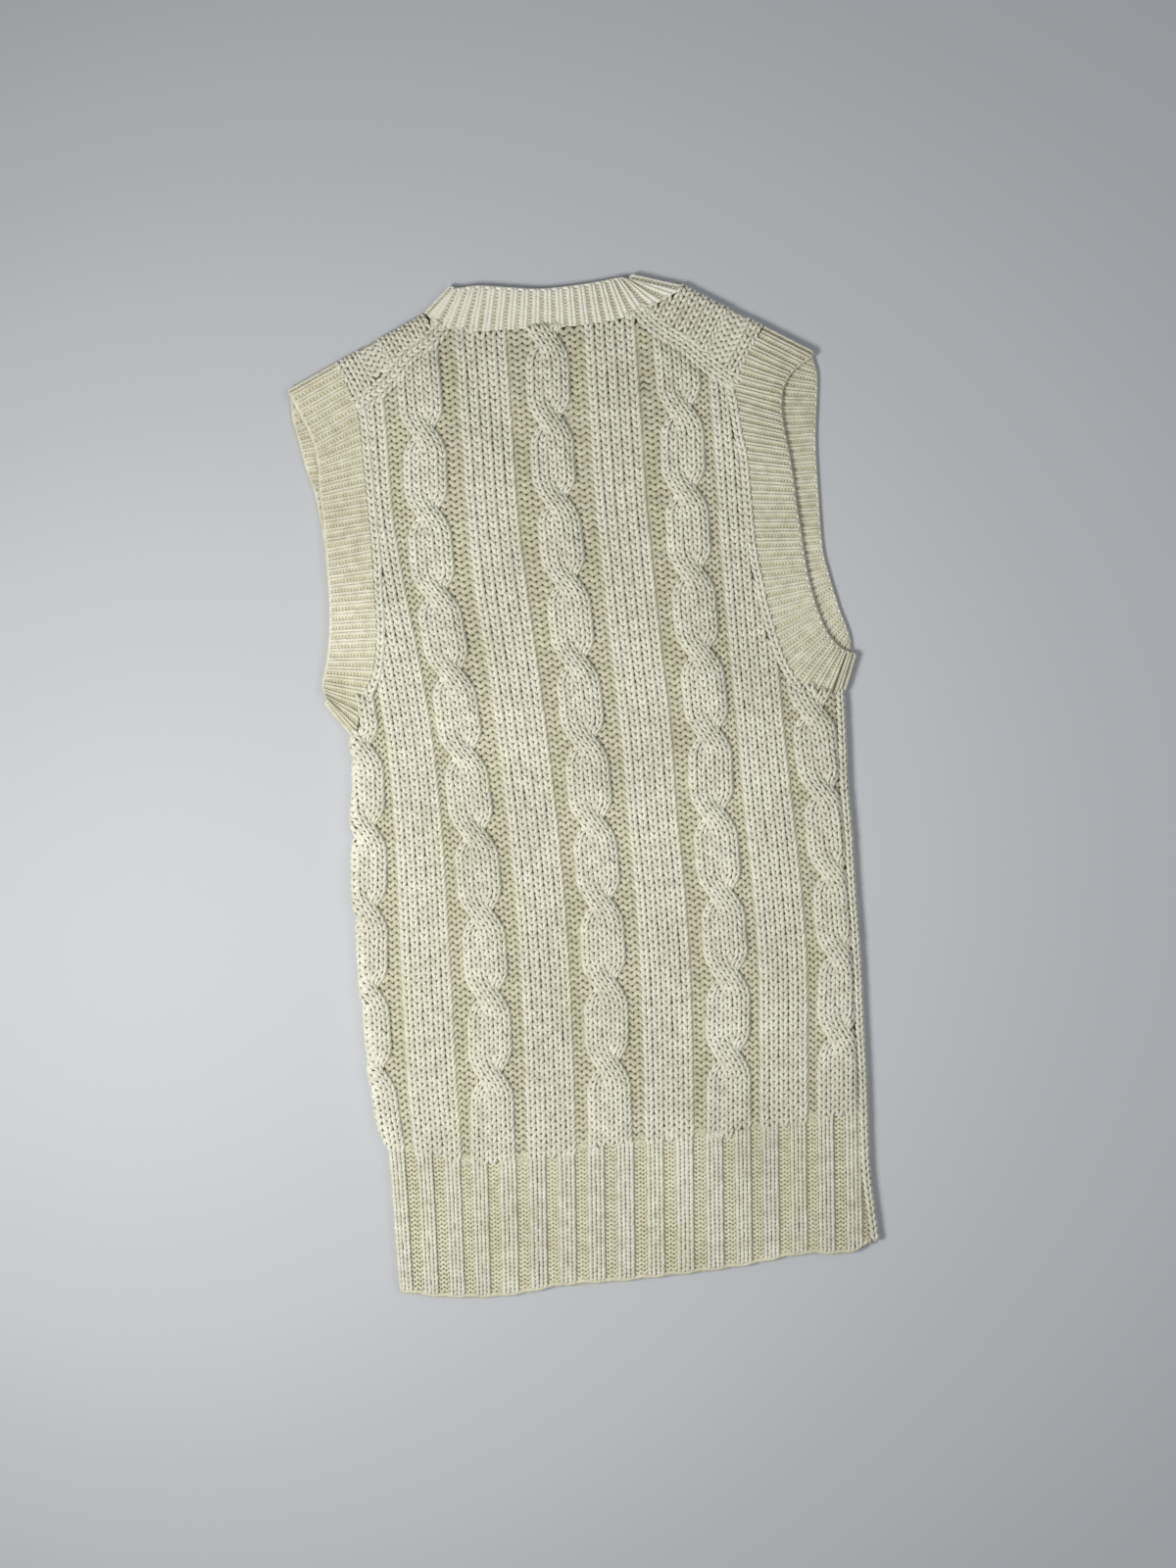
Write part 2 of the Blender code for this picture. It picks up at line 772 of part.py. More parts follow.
def shoulder_lines(turn):
    """Lines along a shoulder's rolled edge and its purl columns on the unrolled cloth."""
    lines = []
    steps = heights(0, (turn.end - turn.start).length, STRIP_STEP)
    for k in range(ROLL_STEPS + 1):
        lines.append([turn.across(turn.start + turn.along * step)[k] for step in steps])
    low, high = SHOULDER_GUTTER
    for along in (low - GUTTER_SLOPE, low, high, high + GUTTER_SLOPE):
        spot = turn.start + turn.along * along
        reaches = heights(ROLL_LENGTH + 4, ROLL_LENGTH + 44, 10)
        lines.append([tuple(spot + turn.out * reach) for reach in reaches])
    return lines


def band_seam(rows, side, low=-math.inf, high=math.inf):
    """The seamed edge of a band between two heights, moved to the panel's side of the seam."""
    points = moved_left(even_points(seam_side(rows)), side)
    return [point for point in points if low < point[1] < high]


def back_outline():
    left, right = Roll(*LEFT_BAND_SHOULDER), Roll(*RIGHT_BAND_SHOULDER)
    under, neck_left, neck_right = Roll(*LEFT_UNDERARM), Roll(*LEFT_NECK_ROLL), Roll(*RIGHT_NECK_ROLL)
    hem_y = table_value(HEM, right_edge(-296) - OVER_STRIP)
    outline = [(right_edge(y) - OVER_STRIP, y) for y in heights(hem_y, SIDE_TOP - 1.5, SIDE_STEP)]
    outline += band_seam([*RIGHT_BAND_BACK, right.row], SEAM, high=RIGHT_SHOULDER_SEAM[-1][1] - 1)
    outline += moved_left(even_points(RIGHT_SHOULDER_SEAM[::-1]), SEAM / 2)
    neck = [neck_left.row, *NECKBAND_BACK, neck_right.row]
    seam = moved_left(even_points(seam_side(neck[::-1])), SEAM)
    first, last = RIGHT_SHOULDER_SEAM[0][0], LEFT_SHOULDER_SEAM[0][0]
    outline += [point for point in seam if last + 1 < point[0] < first - 1]
    outline += moved_left(even_points(LEFT_SHOULDER_SEAM), SEAM / 2)
    rows = [left.row, *LEFT_BAND_BACK, under.row]
    outline += band_seam(rows, SEAM, high=LEFT_SHOULDER_SEAM[-1][1] - 1)
    start = left_edge(SIDE_TOP) + FOLD_RADIUS
    outline += [(start - ROLL_LENGTH * k / ROLL_STEPS, SIDE_TOP) for k in range(1, ROLL_STEPS + 1)]
    low = table_value(HEM, -150)
    seam = FOLD_RADIUS - ROLL_LENGTH - UNDER_STRIP
    side = [(left_edge(y) + seam, y) for y in heights(low, SIDE_TOP, SIDE_STEP)]
    outline += side[::-1]
    start = left_edge(low) + FOLD_RADIUS
    outline += [(start - ROLL_LENGTH * k / ROLL_STEPS, low) for k in range(ROLL_STEPS, -1, -1)]
    hem = [hem_spot(k / 4 / RIBS_PER_REPEAT, 1.0) for k in range(0, 80)]
    outline += [spot for spot in hem if start + 2 < spot[0] < outline[0][0] - 2]
    return outline


def front_outline():
    left, right = Roll(*LEFT_BAND_SHOULDER), Roll(*RIGHT_BAND_SHOULDER)
    left_under, right_under = Roll(*LEFT_UNDERARM), Roll(*RIGHT_UNDERARM)
    neck_left, neck_right = Roll(*LEFT_NECK_ROLL), Roll(*RIGHT_NECK_ROLL)
    hem_left = left_edge(-296) + FOLD_RADIUS + UNDER_STRIP + SEAM
    hem_right = right_edge(-296) - FOLD_RADIUS
    hem_end = table_value(HEM, hem_right) + FRONT_RISE
    over = ROLL_LENGTH + OVER_STRIP - FOLD_RADIUS - SEAM
    outline = [(x, table_value(HEM, x) + FRONT_RISE) for x in heights(hem_left, hem_right, SIDE_STEP)]
    outline += [(hem_right + ROLL_LENGTH * k / ROLL_STEPS, hem_end) for k in range(1, ROLL_STEPS + 1)]
    outline += [(right_edge(y) - FOLD_RADIUS + over, y) for y in heights(hem_end, SIDE_TOP, SIDE_STEP)]
    start = right_edge(SIDE_TOP) - FOLD_RADIUS
    outline += [(start + ROLL_LENGTH * k / ROLL_STEPS, SIDE_TOP) for k in range(ROLL_STEPS, 0, -1)]
    rows = [right.row, *RIGHT_BAND_FRONT, right_under.row][::-1]
    outline += band_seam(rows, SEAM)[:-1]
    outline += RIGHT_TURN.across(right.start - RIGHT_TURN.along * SEAM)
    top = band_seam([*RIGHT_BAND_BACK, right.row], SEAM, low=RIGHT_SHOULDER_SEAM[-1][1] + 1)
    outline += RIGHT_TURN.unrolled(top[-2::-1])
    seam = moved_left(even_points(RIGHT_SHOULDER_SEAM[::-1]), -SEAM / 2)
    outline += RIGHT_TURN.unrolled(seam)
    neck = [neck_left.row, *NECKBAND_BACK, neck_right.row]
    seam = moved_left(even_points(seam_side(neck)), -SEAM)
    outline += RIGHT_TURN.unrolled([p for p in seam if p[0] > RIGHT_SHOULDER_SEAM[0][0] + 1])
    outline += RIGHT_TURN.across(RIGHT_TURN.start + RIGHT_TURN.along * NECK_CLEARANCE)[::-1]
    outline += band_seam([neck_right.row, *NECKBAND_RIGHT], SEAM)[1:-1]
    outline.append(V_POINT)
    outline += band_seam([*NECKBAND_LEFT, neck_left.row], SEAM)[1:-1]
    outline += LEFT_TURN.across(LEFT_TURN.start + LEFT_TURN.along * NECK_CLEARANCE)
    outline += LEFT_TURN.unrolled([p for p in seam if p[0] < LEFT_SHOULDER_SEAM[0][0] - 1])
    seam = moved_left(even_points(LEFT_SHOULDER_SEAM), -SEAM / 2)
    outline += LEFT_TURN.unrolled(seam)
    top = band_seam([left.row, *LEFT_BAND_BACK], SEAM, low=LEFT_SHOULDER_SEAM[-1][1] + 1)
    outline += LEFT_TURN.unrolled(top[1:][::-1])
    outline += LEFT_TURN.across(left.start - LEFT_TURN.along * SEAM)[::-1]
    rows = [left_under.row, *LEFT_BAND_FRONT, left.row][::-1]
    outline += band_seam(rows, SEAM, low=UNDER_TOP + 3)[1:]
    side = heights(hem_end, UNDER_TOP, SIDE_STEP)[1:]
    outline += [(left_edge(y) + FOLD_RADIUS + UNDER_STRIP + SEAM, y) for y in side[::-1]]
    return outline


def main():
    for body in list(bpy.data.objects):
        bpy.data.objects.remove(body)

    hem_end = table_value(HEM, LEFT_EDGE[-1][1])
    fine = side_turn_lines(left_edge, -1, hem_end, SIDE_STEP)
    coarse = side_turn_lines(left_edge, -1, hem_end, STRIP_STEP)
    lines = cable_lines() + gutter_points() + hem_lines()
    relief = [flat_points(line, place_back) for line in lines]
    make_panel("back", back_outline(), fine + relief, coarse, place_back)

    hem_end = table_value(HEM, RIGHT_EDGE[-1][1]) + FRONT_RISE
    turns = side_turn_lines(right_edge, 1, hem_end, STRIP_STEP)
    turns += shoulder_lines(LEFT_TURN) + shoulder_lines(RIGHT_TURN)
    make_panel("front", front_outline(), turns, turns, place_front)

    neckband()
    shoulder, underarm = Roll(*LEFT_BAND_SHOULDER), Roll(*LEFT_UNDERARM)
    armhole_band("left_armhole_band", LEFT_BAND_FRONT, LEFT_BAND_BACK, False, False, shoulder, underarm)
    shoulder, underarm = Roll(*RIGHT_BAND_SHOULDER), Roll(*RIGHT_UNDERARM)
    armhole_band("right_armhole_band", RIGHT_BAND_BACK, RIGHT_BAND_FRONT, True, True, shoulder, underarm)


main()
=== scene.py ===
"""The looks of a cable-knit sweater vest that lies flat with its back up.

Every panel and band is a thin shell on its solid's form, and each stitch that shows is a
piece of yarn on it: two leaning legs for a knit stitch, and a wavy row for purl ones.
Sizes are in millimetres in the tables' own axes, and objects in metres.
"""

import math

import bmesh
import bpy
import numpy as np
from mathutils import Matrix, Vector


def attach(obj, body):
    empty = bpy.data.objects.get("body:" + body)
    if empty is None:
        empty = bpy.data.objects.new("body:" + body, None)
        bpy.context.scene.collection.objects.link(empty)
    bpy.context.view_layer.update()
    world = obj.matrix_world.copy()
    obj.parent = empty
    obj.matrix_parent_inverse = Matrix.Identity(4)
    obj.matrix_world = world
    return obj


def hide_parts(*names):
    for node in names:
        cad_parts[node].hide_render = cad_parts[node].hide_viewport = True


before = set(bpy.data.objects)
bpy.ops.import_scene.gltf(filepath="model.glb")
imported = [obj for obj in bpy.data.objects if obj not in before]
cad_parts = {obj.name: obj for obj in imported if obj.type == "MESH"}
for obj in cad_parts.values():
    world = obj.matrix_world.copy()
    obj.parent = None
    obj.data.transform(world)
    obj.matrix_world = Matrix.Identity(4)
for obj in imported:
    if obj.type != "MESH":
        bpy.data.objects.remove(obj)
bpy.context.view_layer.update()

MM = 0.001
ORIGIN = np.array((1.9, 3.0, 0.0))  # the outline's middle, in the tables' own axes

# ---- cloth, as the solids have it: heights are above its inner side ----
PLAIN = 2.8
PURL = 1.8
STOCKING = 3.0
CABLE = 5.4
CROSSING_RISE = 1.0  # of the upper strand where it crosses the lower one
CROSSING_DIP = 2.0
RIB_CREST = 3.3
RIB_TROUGH = 1.9
HOLLOW_RADIUS = 0.5  # inside a rolled edge
FOLD_RADIUS = HOLLOW_RADIUS + PLAIN
FOLD_HEIGHT = FOLD_RADIUS
ROLL_LENGTH = math.pi * FOLD_RADIUS
OVER_STRIP = 5.5  # how far the front rolls up over the back's right edge
SAG = 1.8  # how deep the back sinks into the neck opening
SAG_MARGIN = 4.0
SAG_RUN = 30.0
SAG_TOP = 285.0

# Soft troughs, and ridges where the depth is below zero: both ends, half width and depth.
CREASES = (
    (-50, 258, 17, 150, 8, 1.9),
    (54, 248, 23, 152, 8, 1.6),
    (2, 232, 32, 166, 11, 1.8),
    (-66, 242, 0, 148, 9, -0.45),
    (68, 238, 36, 150, 9, -0.45),
    (-84, -225, -88, -303, 9, 0.9),
    (-68, -232, -70, -303, 8, -0.5),
    (20, -235, 17, -303, 10, 0.5),
    (84, -225, 80, -300, 9, 0.6),
    (-105, 60, -60, -20, 16, 0.4),
    (60, 60, 96, -30, 15, 0.45),
    (-30, 40, 20, 95, 18, 0.4),
    (-110, -120, -70, -190, 15, -0.4),
    (30, -100, 90, -150, 16, 0.4),
)
CREASE_MOST = 2.2  # deeper troughs level off towards this
CREASE_FADE = 12.0  # from the left fold to where the creases have their whole depth

# ---- cables and ribs, as the solids have them ----
UPPER_HALF = 8.4
UPPER_SWING = 5.6
LOWER_HALF = 5.8
LOWER_SWING = 8.1
FIRST_CROSSING = 274.0
CROSSING_PITCH = 49.5
CROSSINGS = 10
OUTER_PITCH = 66.0  # to where one more cable would lie, past the first and the last
CROSSING_SHARE = 0.3
CABLE_RUN = 13.0  # over which a cable sinks into the ribbing
PANEL_HALF = 7.3
PANEL_SHARE = 0.11
RIBS_PER_REPEAT = 4
SHOULDER_GUTTER = (32, 44)

CABLE_ROWS = (
    (330, -158, -82, 0, 77, 142),
    (225, -158, -83, -5, 75, 142),
    (176, -157, -85, -6, 73, 142),
    (130, -150, -85, -5, 72, 140),
    (80, -143.5, -81, -4, 72, 138.5),
    (30, -140.5, -78, -3, 73, 137),
    (-20, -143, -76, -3, 71, 139),
    (-70, -147, -76, -3, 71, 140),
    (-120, -151, -77, -5, 70, 139),
    (-172, -152, -80, -8, 66, 134),
    (-215, -150.5, -83, -11, 62, 130),
    (-310, -153, -90, -19, 54, 122),
)
CABLE_LIFT = (9, 0, 0, -2, 5)
FIRST_CROSSING_SHOWN = (5, 1, 0, 1, 5)
RIB_SINK = 1.0  # how far below the ribs' upper line their stitches begin

LEFT_EDGE = (
    (60, -144), (40, -144), (14, -145.5), (-4, -148), (-28, -150),
    (-52, -152), (-100, -152.5), (-172, -152), (-190, -151), (-209, -148.5),
    (-227, -147.5), (-257, -148), (-310, -148),
)
RIGHT_EDGE = (
    (60, 159), (42, 158.5), (11, 157), (-15, 155.5), (-50, 155),
    (-75, 154), (-120, 153), (-158, 151), (-201, 149), (-231, 147),
    (-255, 146), (-273, 146.5), (-310, 148),
)
SIDE_TOP = 40.5
HEM = (
    (-170, -297), (-148, -298), (-124, -303), (-94, -306), (-76, -306),
    (-51, -303.5), (-9, -304), (27, -303.5), (63, -302), (100, -298.5),
    (127, -300.5), (141, -296), (170, -292),
)
RIB_TOP = (
    (-170, -206), (-148, -209), (-86, -224), (-1, -221), (96, -219),
    (138, -215), (170, -212),
)
FRONT_RISE = 2.5

LEFT_SHOULDER_SEAM = (
    (-67, 285.5), (-73, 280.5), (-81, 276), (-89, 271), (-97, 262),
    (-104, 255), (-112, 250), (-121, 245.3),
)
RIGHT_SHOULDER_SEAM = (
    (57, 284.5), (63, 277), (72, 269.5), (82, 262), (89, 254.5),
    (97, 246.5), (108.3, 237),
)
LEFT_BAND_FRONT = (
    (-137, 56.5, -157.8, 72.5), (-133, 68, -157, 79), (-128, 85, -155, 90),
    (-125, 105, -152, 106), (-123, 130, -150.5, 130), (-123, 160, -150.5, 160),
    (-125, 190, -153, 191), (-128, 210, -157, 208), (-130.5, 230, -160, 226),
    (-131.3, 250, -162.5, 240),
)
LEFT_BAND_BACK = (
    (-125.5, 255, -157, 241), (-122, 245, -153, 231), (-121, 233, -150.5, 221),
    (-121, 216, -149.5, 209), (-121, 198, -150, 194), (-121, 180, -149.5, 178),
    (-121, 157, -150, 154), (-122, 129, -150.5, 129), (-122.5, 110, -152, 111),
    (-125, 92, -155, 94), (-128.5, 79, -158, 84), (-134, 69, -160, 77),
    (-138, 58, -159.3, 71),
)
RIGHT_BAND_BACK = (
    (150.5, 39.8, 162.6, 66.2), (142, 42, 159.5, 68), (132, 49, 155, 73),
    (125, 62, 151, 80), (121, 76, 148, 89), (117, 97, 145, 102),
    (115, 115, 143, 116), (113, 134, 142, 132), (113, 162, 140.5, 159),
    (113, 190, 139.5, 184), (111, 207, 138, 199), (110, 224, 137, 213),
    (109, 235, 138, 225), (112.5, 245, 141, 233), (120, 256, 147, 240),
)
RIGHT_BAND_FRONT = (
    (131.5, 247, 161, 236), (131, 222, 159, 219), (129, 195, 156, 195),
    (127, 160, 154.5, 160), (127, 130, 154, 131), (129, 110, 156, 116),
    (132, 90, 158.5, 103), (136, 74, 161, 91), (142, 60, 164, 81),
    (149, 50, 165.3, 73),
)
NECKBAND_LEFT = (
    (16.3, 127, 16.3, 150), (0, 146, 10.5, 167), (-28, 178, -7, 190),
    (-50, 213, -27, 221), (-65, 245, -41, 251), (-73, 275, -49, 285),
)
NECKBAND_BACK = (
    (-66, 287, -52, 310.5), (-54, 284, -43, 311), (-42, 282, -35, 310),
    (-25, 281.5, -20, 307.5), (-8, 281, -5, 305.3), (8, 280, 9, 305),
    (25, 280, 24, 305.5), (42, 281.3, 37, 306.5), (56, 284.7, 44, 307.3),
    (68, 289, 48, 307),
)
NECKBAND_RIGHT = (
    (77, 275, 55, 287), (69, 245, 46, 251), (57, 213, 35, 221),
    (41, 175, 25, 188), (25, 143, 18.6, 166), (16.7, 127, 16.7, 150),
)
VEST_MIDDLE = (0, 100)

# ---- stitches ----
ROW = CROSSING_PITCH / 12  # height of a stitch in the body
TRACK = 5.6  # from one column of a cable to the next
HEM_ROW = 2.75
BAND_RIB = 5.75  # from one rib to the next on the armhole bands
NECK_RIB = 7.2
BAND_ROW = 2.0
EDGE_WALE = 5.7  # a column of stitches that runs along an edge
EDGE_FOOT = (70.0, 50.0)  # how far down the left and the right armhole it reaches
CORE_DEPTH = 1.7  # from the back's outer side down to the cloth that its stitches cover
FRONT_CORE_DEPTH = 0.8
CORE_LEAST = 0.4  # the thinnest that this cloth gets
CORE_MOST = 4.6  # and the thickest, under the cables' crossings
CORE_AT_SEAMS = 1.6
BAND_CORE = 1.3  # thickness of the cloth under a band's ribs
KNIT_TUCK = 2.4  # how far the body's knit stitches reach under those along its seams
PURL_TUCK = 4.5
GUTTER_FOOT = 8.0  # from a cable's middle out to the purl rows beside it
HEM_LENGTH = 85.0  # of the ribbing, from its upper end to the lower edge
HEM_RIM_SHARES = (0.02, 4.72)  # from where to where the rim shows, counted in cables
SIDE_WALE = 6.0
SHOULDER_WALE = 5.6
LEFT_FOLD_END = 60.5  # the last stitch on a shoulder's fold, by its distance from the neck
RIGHT_FOLD_END = 57.0
OUTER_TURNS = 0.8 * math.pi  # up to here round a roll a band's outer side shows
INNER_TURNS = 0.9 * math.pi  # and from here on the inner side of its lower layer
BAND_TROUGH = 1.9  # height of the purl columns in the bands
NECK_TROUGH = 2.3

# A leg of a knit stitch, at five places from its foot to its top: how far up it is in
# rows, its middle and half its width in columns, and its crest above the cloth.
LEG = (
    (-0.24, 0.08, 0.10, -0.80),
    (0.12, 0.15, 0.195, 0.42),
    (0.50, 0.24, 0.228, 0.80),
    (0.88, 0.325, 0.195, 0.42),
    (1.22, 0.39, 0.10, -0.85),
)
# A leg in fine ribbing, which stands nearly upright.
RIB_LEG = (
    (-0.15, 0.20, 0.14, -0.35),
    (0.18, 0.23, 0.23, 0.25),
    (0.50, 0.25, 0.25, 0.42),
    (0.82, 0.27, 0.23, 0.25),
    (1.15, 0.30, 0.14, -0.45),
)
# A leg in a band's ribs, which run on like cords.
BAND_LEG = (
    (-0.30, 0.24, 0.20, -0.20),
    (0.12, 0.245, 0.245, 0.14),
    (0.50, 0.25, 0.26, 0.26),
    (0.88, 0.255, 0.245, 0.14),
    (1.30, 0.26, 0.20, -0.25),
)
ROUND = np.array(((-1.0, 0.0), (-0.48, 0.86), (0.48, 0.86), (1.0, 0.0)))  # half a yarn's section
CHANCE = np.random.default_rng(7)  # makes the stitches a little uneven
UNEVEN = (0.02, 0.012, 0.03, 0.06)  # for a stitch's row, place, width and height
YARN_DEPTH = 1.4  # from a leg's crest down to its sides


# -------- curves and measures
def mix(a, b, share):
    return a + (b - a) * share


def together(*parts):
    """One array of the parts, side by side along a last axis of its own."""
    return np.stack(np.broadcast_arrays(*parts), axis=-1)


def smoothstep(value):
    value = np.clip(value, 0.0, 1.0)
    return value * value * (3 - 2 * value)


class Curve:
    """One column of a table on a smooth curve, by the value of its first column."""

    def __init__(self, rows, column=1):
        rows = sorted(rows)
        self.at = np.array([row[0] for row in rows], float)
        self.values = np.array([row[column] for row in rows], float)
        near = np.arange(len(rows))
        before, after = np.maximum(near - 1, 0), np.minimum(near + 1, len(rows) - 1)
        self.slopes = (self.values[after] - self.values[before]) / (self.at[after] - self.at[before])

    def __call__(self, at):
        k = np.clip(np.searchsorted(self.at, at) - 1, 0, len(self.at) - 2)
        width = self.at[k + 1] - self.at[k]
        share = np.clip((at - self.at[k]) / width, 0, 1)
        rise = self.values[k + 1] - self.values[k]
        bend = (self.slopes[k] * width - rise) * (1 - share)
        bend = bend + (rise - self.slopes[k + 1] * width) * share
        return self.values[k] + rise * share + share * (1 - share) * bend


def even_points(points, step):
    """Points about a step apart on the smooth curve through the points."""
    points = np.array(points, float)
    last = len(points) - 1
    at = np.linspace(0, last, 16 * last + 1)
    k = np.minimum(at.astype(int), last - 1)
    t = (at - k)[:, None]
    before, here, after, beyond = (points[np.clip(k + j, 0, last)] for j in (-1, 0, 1, 2))
    fine = before * (-t + 2 * t**2 - t**3) / 2 + here * (2 - 5 * t**2 + 3 * t**3) / 2
    fine = fine + after * (t + 4 * t**2 - 3 * t**3) / 2 + beyond * (t**3 - t**2) / 2
    reach = np.concatenate(([0], np.cumsum(np.linalg.norm(np.diff(fine, axis=0), axis=1))))
    count = max(1, round(reach[-1] / step))
    wanted = np.linspace(0, reach[-1], count + 1)
    return together(*(np.interp(wanted, reach, column) for column in fine.T))


def to_the_left(points):
    """Steps of 1 to the left of a line's own way."""
    way = np.gradient(points, axis=0)
    way = way / np.linalg.norm(way, axis=1)[:, None]
    return together(-way[:, 1], way[:, 0])


def inside_outline(x, y, outline):
    """Which of the points lie inside the outline."""
    inside = np.zeros(x.shape, bool)
    for (ax, ay), (bx, by) in zip(outline, np.roll(outline, -1, axis=0)):
        if ay != by:
            crossed = ((ay > y) != (by > y)) & (x < ax + (y - ay) * (bx - ax) / (by - ay))
            inside ^= crossed
    return inside


class Roll:
    """A straight edge where cloth turns over, by its two ends as seen from above."""

    def __init__(self, start, end):
        start, end = np.array(start, float), np.array(end, float)
        self.along = (end - start) / np.linalg.norm(end - start)
        self.out = np.array((-self.along[1], self.along[0]))
        if self.out @ (start - VEST_MIDDLE) < 0:
            self.out = -self.out
        self.start = start - self.out * FOLD_RADIUS
        self.end = end - self.out * FOLD_RADIUS
        self.row = (*self.start, *self.end)

    def place(self, along, past, height):
        """A point of the front panel that rolls over this edge, by the way along it and the
        distance past the start of the turn."""
        out, up = rolled(past, height)
        x, y = (self.start[k] + self.along[k] * along + self.out[k] * out for k in range(2))
        return together(x, y, FOLD_HEIGHT - up)

    def measure(self, points):
        """How far the points lie along the edge and out from the start of the turn."""
        return (points - self.start) @ self.along, (points - self.start) @ self.out


def rolled(distance, height):
    """How far out and how high above the roll's axis a point lies, by its distance past
    the start of the turn and its height in the wall."""
    turn = np.clip(distance / FOLD_RADIUS, 0, math.pi)
    reach = HOLLOW_RADIUS + height
    out = np.minimum(distance, 0) + reach * np.sin(turn) - np.maximum(distance - ROLL_LENGTH, 0)
    return out, reach * np.cos(turn)


LEFT_SHOULDER = Roll((-77, 296), (-164, 258))
RIGHT_SHOULDER = Roll((84, 299), (161, 250))
LEFT_UNDERARM = Roll((-144, 42), (-160, 66))
RIGHT_UNDERARM = Roll((159, 42), (168, 64))
LEFT_BAND_ROLL = Roll((-131, 272.4), (-164, 258))
RIGHT_BAND_ROLL = Roll((131, 269.1), (161, 250))
LEFT_NECK_ROLL = Roll((-75.5, 297), (-57.5, 313))
RIGHT_NECK_ROLL = Roll((83.2, 298.8), (52, 309))

LEFT_AT = Curve(LEFT_EDGE)
RIGHT_AT = Curve(RIGHT_EDGE)
HEM_AT = Curve(HEM)
RIB_TOP_AT = Curve(RIB_TOP)
MIDDLE_AT = [Curve(CABLE_ROWS, column) for column in range(1, 6)]
OPENING_LEFT = Curve([(row[3], row[2]) for row in NECKBAND_LEFT])
OPENING_RIGHT = Curve([(row[3], row[2]) for row in NECKBAND_RIGHT])


# -------- how the layers lie
def creases(x, y):
    """How far soft troughs and ridges lower the back panel, with none on the left fold."""
    depth = 0.0
    for ax, ay, bx, by, half, most in CREASES:
        dx, dy = bx - ax, by - ay
        length = math.hypot(dx, dy)
        along = ((x - ax) * dx + (y - ay) * dy) / length
        aside = np.abs((x - ax) * dy - (y - ay) * dx) / length
        ends = smoothstep((along + half) / (2 * half)) * smoothstep((length - along + half) / (2 * half))
        depth = depth + most * (1 - smoothstep(aside / (2 * half))) * ends
    off_fold = smoothstep((x - (LEFT_AT(y) + FOLD_RADIUS)) / CREASE_FADE)
    return CREASE_MOST * np.tanh(depth / CREASE_MOST) * off_fold


def sag(x, y):
    """How far the back panel sinks into the neck opening below it."""
    inside = np.minimum(x - OPENING_LEFT(y), OPENING_RIGHT(y) - x)
    inside = np.minimum(inside, y - NECKBAND_LEFT[0][3])
    return SAG * smoothstep((inside - SAG_MARGIN) / SAG_RUN) * smoothstep((SAG_TOP - y) / SAG_RUN)


def place_back(x, y, height):
    """A point of the back panel, whose unrolled cloth runs on past the left edge. On the
    right it ends at the seam with the front, and gets thinner towards it."""
    seam = np.where(y < SIDE_TOP + 2, RIGHT_AT(y) - OVER_STRIP - 0.2, 999.0)
    height = height * (1 - 0.45 * smoothstep((x - seam + 3.0) / 3.0))
    x = np.minimum(x, seam)
    start = LEFT_AT(y) + FOLD_RADIUS
    distance = start - x
    flat = smoothstep((distance / ROLL_LENGTH - 0.35) / 0.4)
    height = mix(height, np.minimum(height, PLAIN), flat)
    out, up = rolled(distance, height)
    z = FOLD_HEIGHT + up - sag(x, y) - creases(x, y)
    return together(start - out, y, z)


def place_body(x, y, height):
    """A point of the back's body, whose stitches slip under those along its seams."""
    under = smoothstep((1.5 - past_edges(x, y)) / 3.5)
    return place_back(x, y, height - 1.5 * under)


def place_side(x, y, height):
    """A point of the front panel where it rolls up at the right edge."""
    start = RIGHT_AT(y) - FOLD_RADIUS
    out, up = rolled(x - start, height)
    return together(start + out, y, FOLD_HEIGHT - up)


class Band:
    """A ribbed band as lines across it, placed by the way along it and across it."""

    def __init__(self, sections):
        self.lines = []
        for rows, out, turn, end_turn in sections:
            count = len(rows)
            for k, row in enumerate(rows):
                self.lines.append((*row, *out, mix(turn, end_turn, k / max(count - 1, 1))))
        self.lines = np.array(self.lines)
        turns = np.append(0, np.abs(np.diff(self.lines[:, 6])))
        middles = (self.lines[:, :2] + self.lines[:, 2:4]) / 2
        steps = np.append(0, np.linalg.norm(np.diff(middles, axis=0), axis=1))
        self.at = np.cumsum(steps + turns * FOLD_RADIUS)
        self.length = self.at[-1]
        self.width = float(np.mean(np.linalg.norm(self.lines[:, :2] - self.lines[:, 2:4], axis=1)))

    def line(self, along):
        return [np.interp(along, self.at, column) for column in self.lines.T]

    def turn(self, along):
        return np.interp(along, self.at, self.lines[:, 6])

    def place(self, along, across, height):
        x0, y0, x1, y1, out_x, out_y, turn = self.line(along)
        share = across / self.width
        reach = HOLLOW_RADIUS + height
        x = mix(x0, x1, share) + out_x * reach * np.sin(turn)
        y = mix(y0, y1, share) + out_y * reach * np.sin(turn)
        return together(x, y, FOLD_HEIGHT + reach * np.cos(turn))


def flat_section(rows, on_top):
    turn = 0.0 if on_top else math.pi
    return (even_points(rows, 3.0), (0.0, 0.0), turn, turn)


def rolled_section(roll, to_top):
    start = math.pi if to_top else 0.0
    return ([roll.row] * 9, tuple(roll.out), start, math.pi - start)


def folded_band(on_top, start, first_roll, middle, second_roll, end):
    """A band of three flat stretches with a roll at both folds between them. on_top tells
    in which layer its start and its end lie."""
    return Band(
        (
            flat_section([*start, first_roll.row], on_top),
            rolled_section(first_roll, not on_top),
            flat_section([first_roll.row, *middle, second_roll.row], not on_top),
            rolled_section(second_roll, on_top),
            flat_section([second_roll.row, *end], on_top),
        )
    )


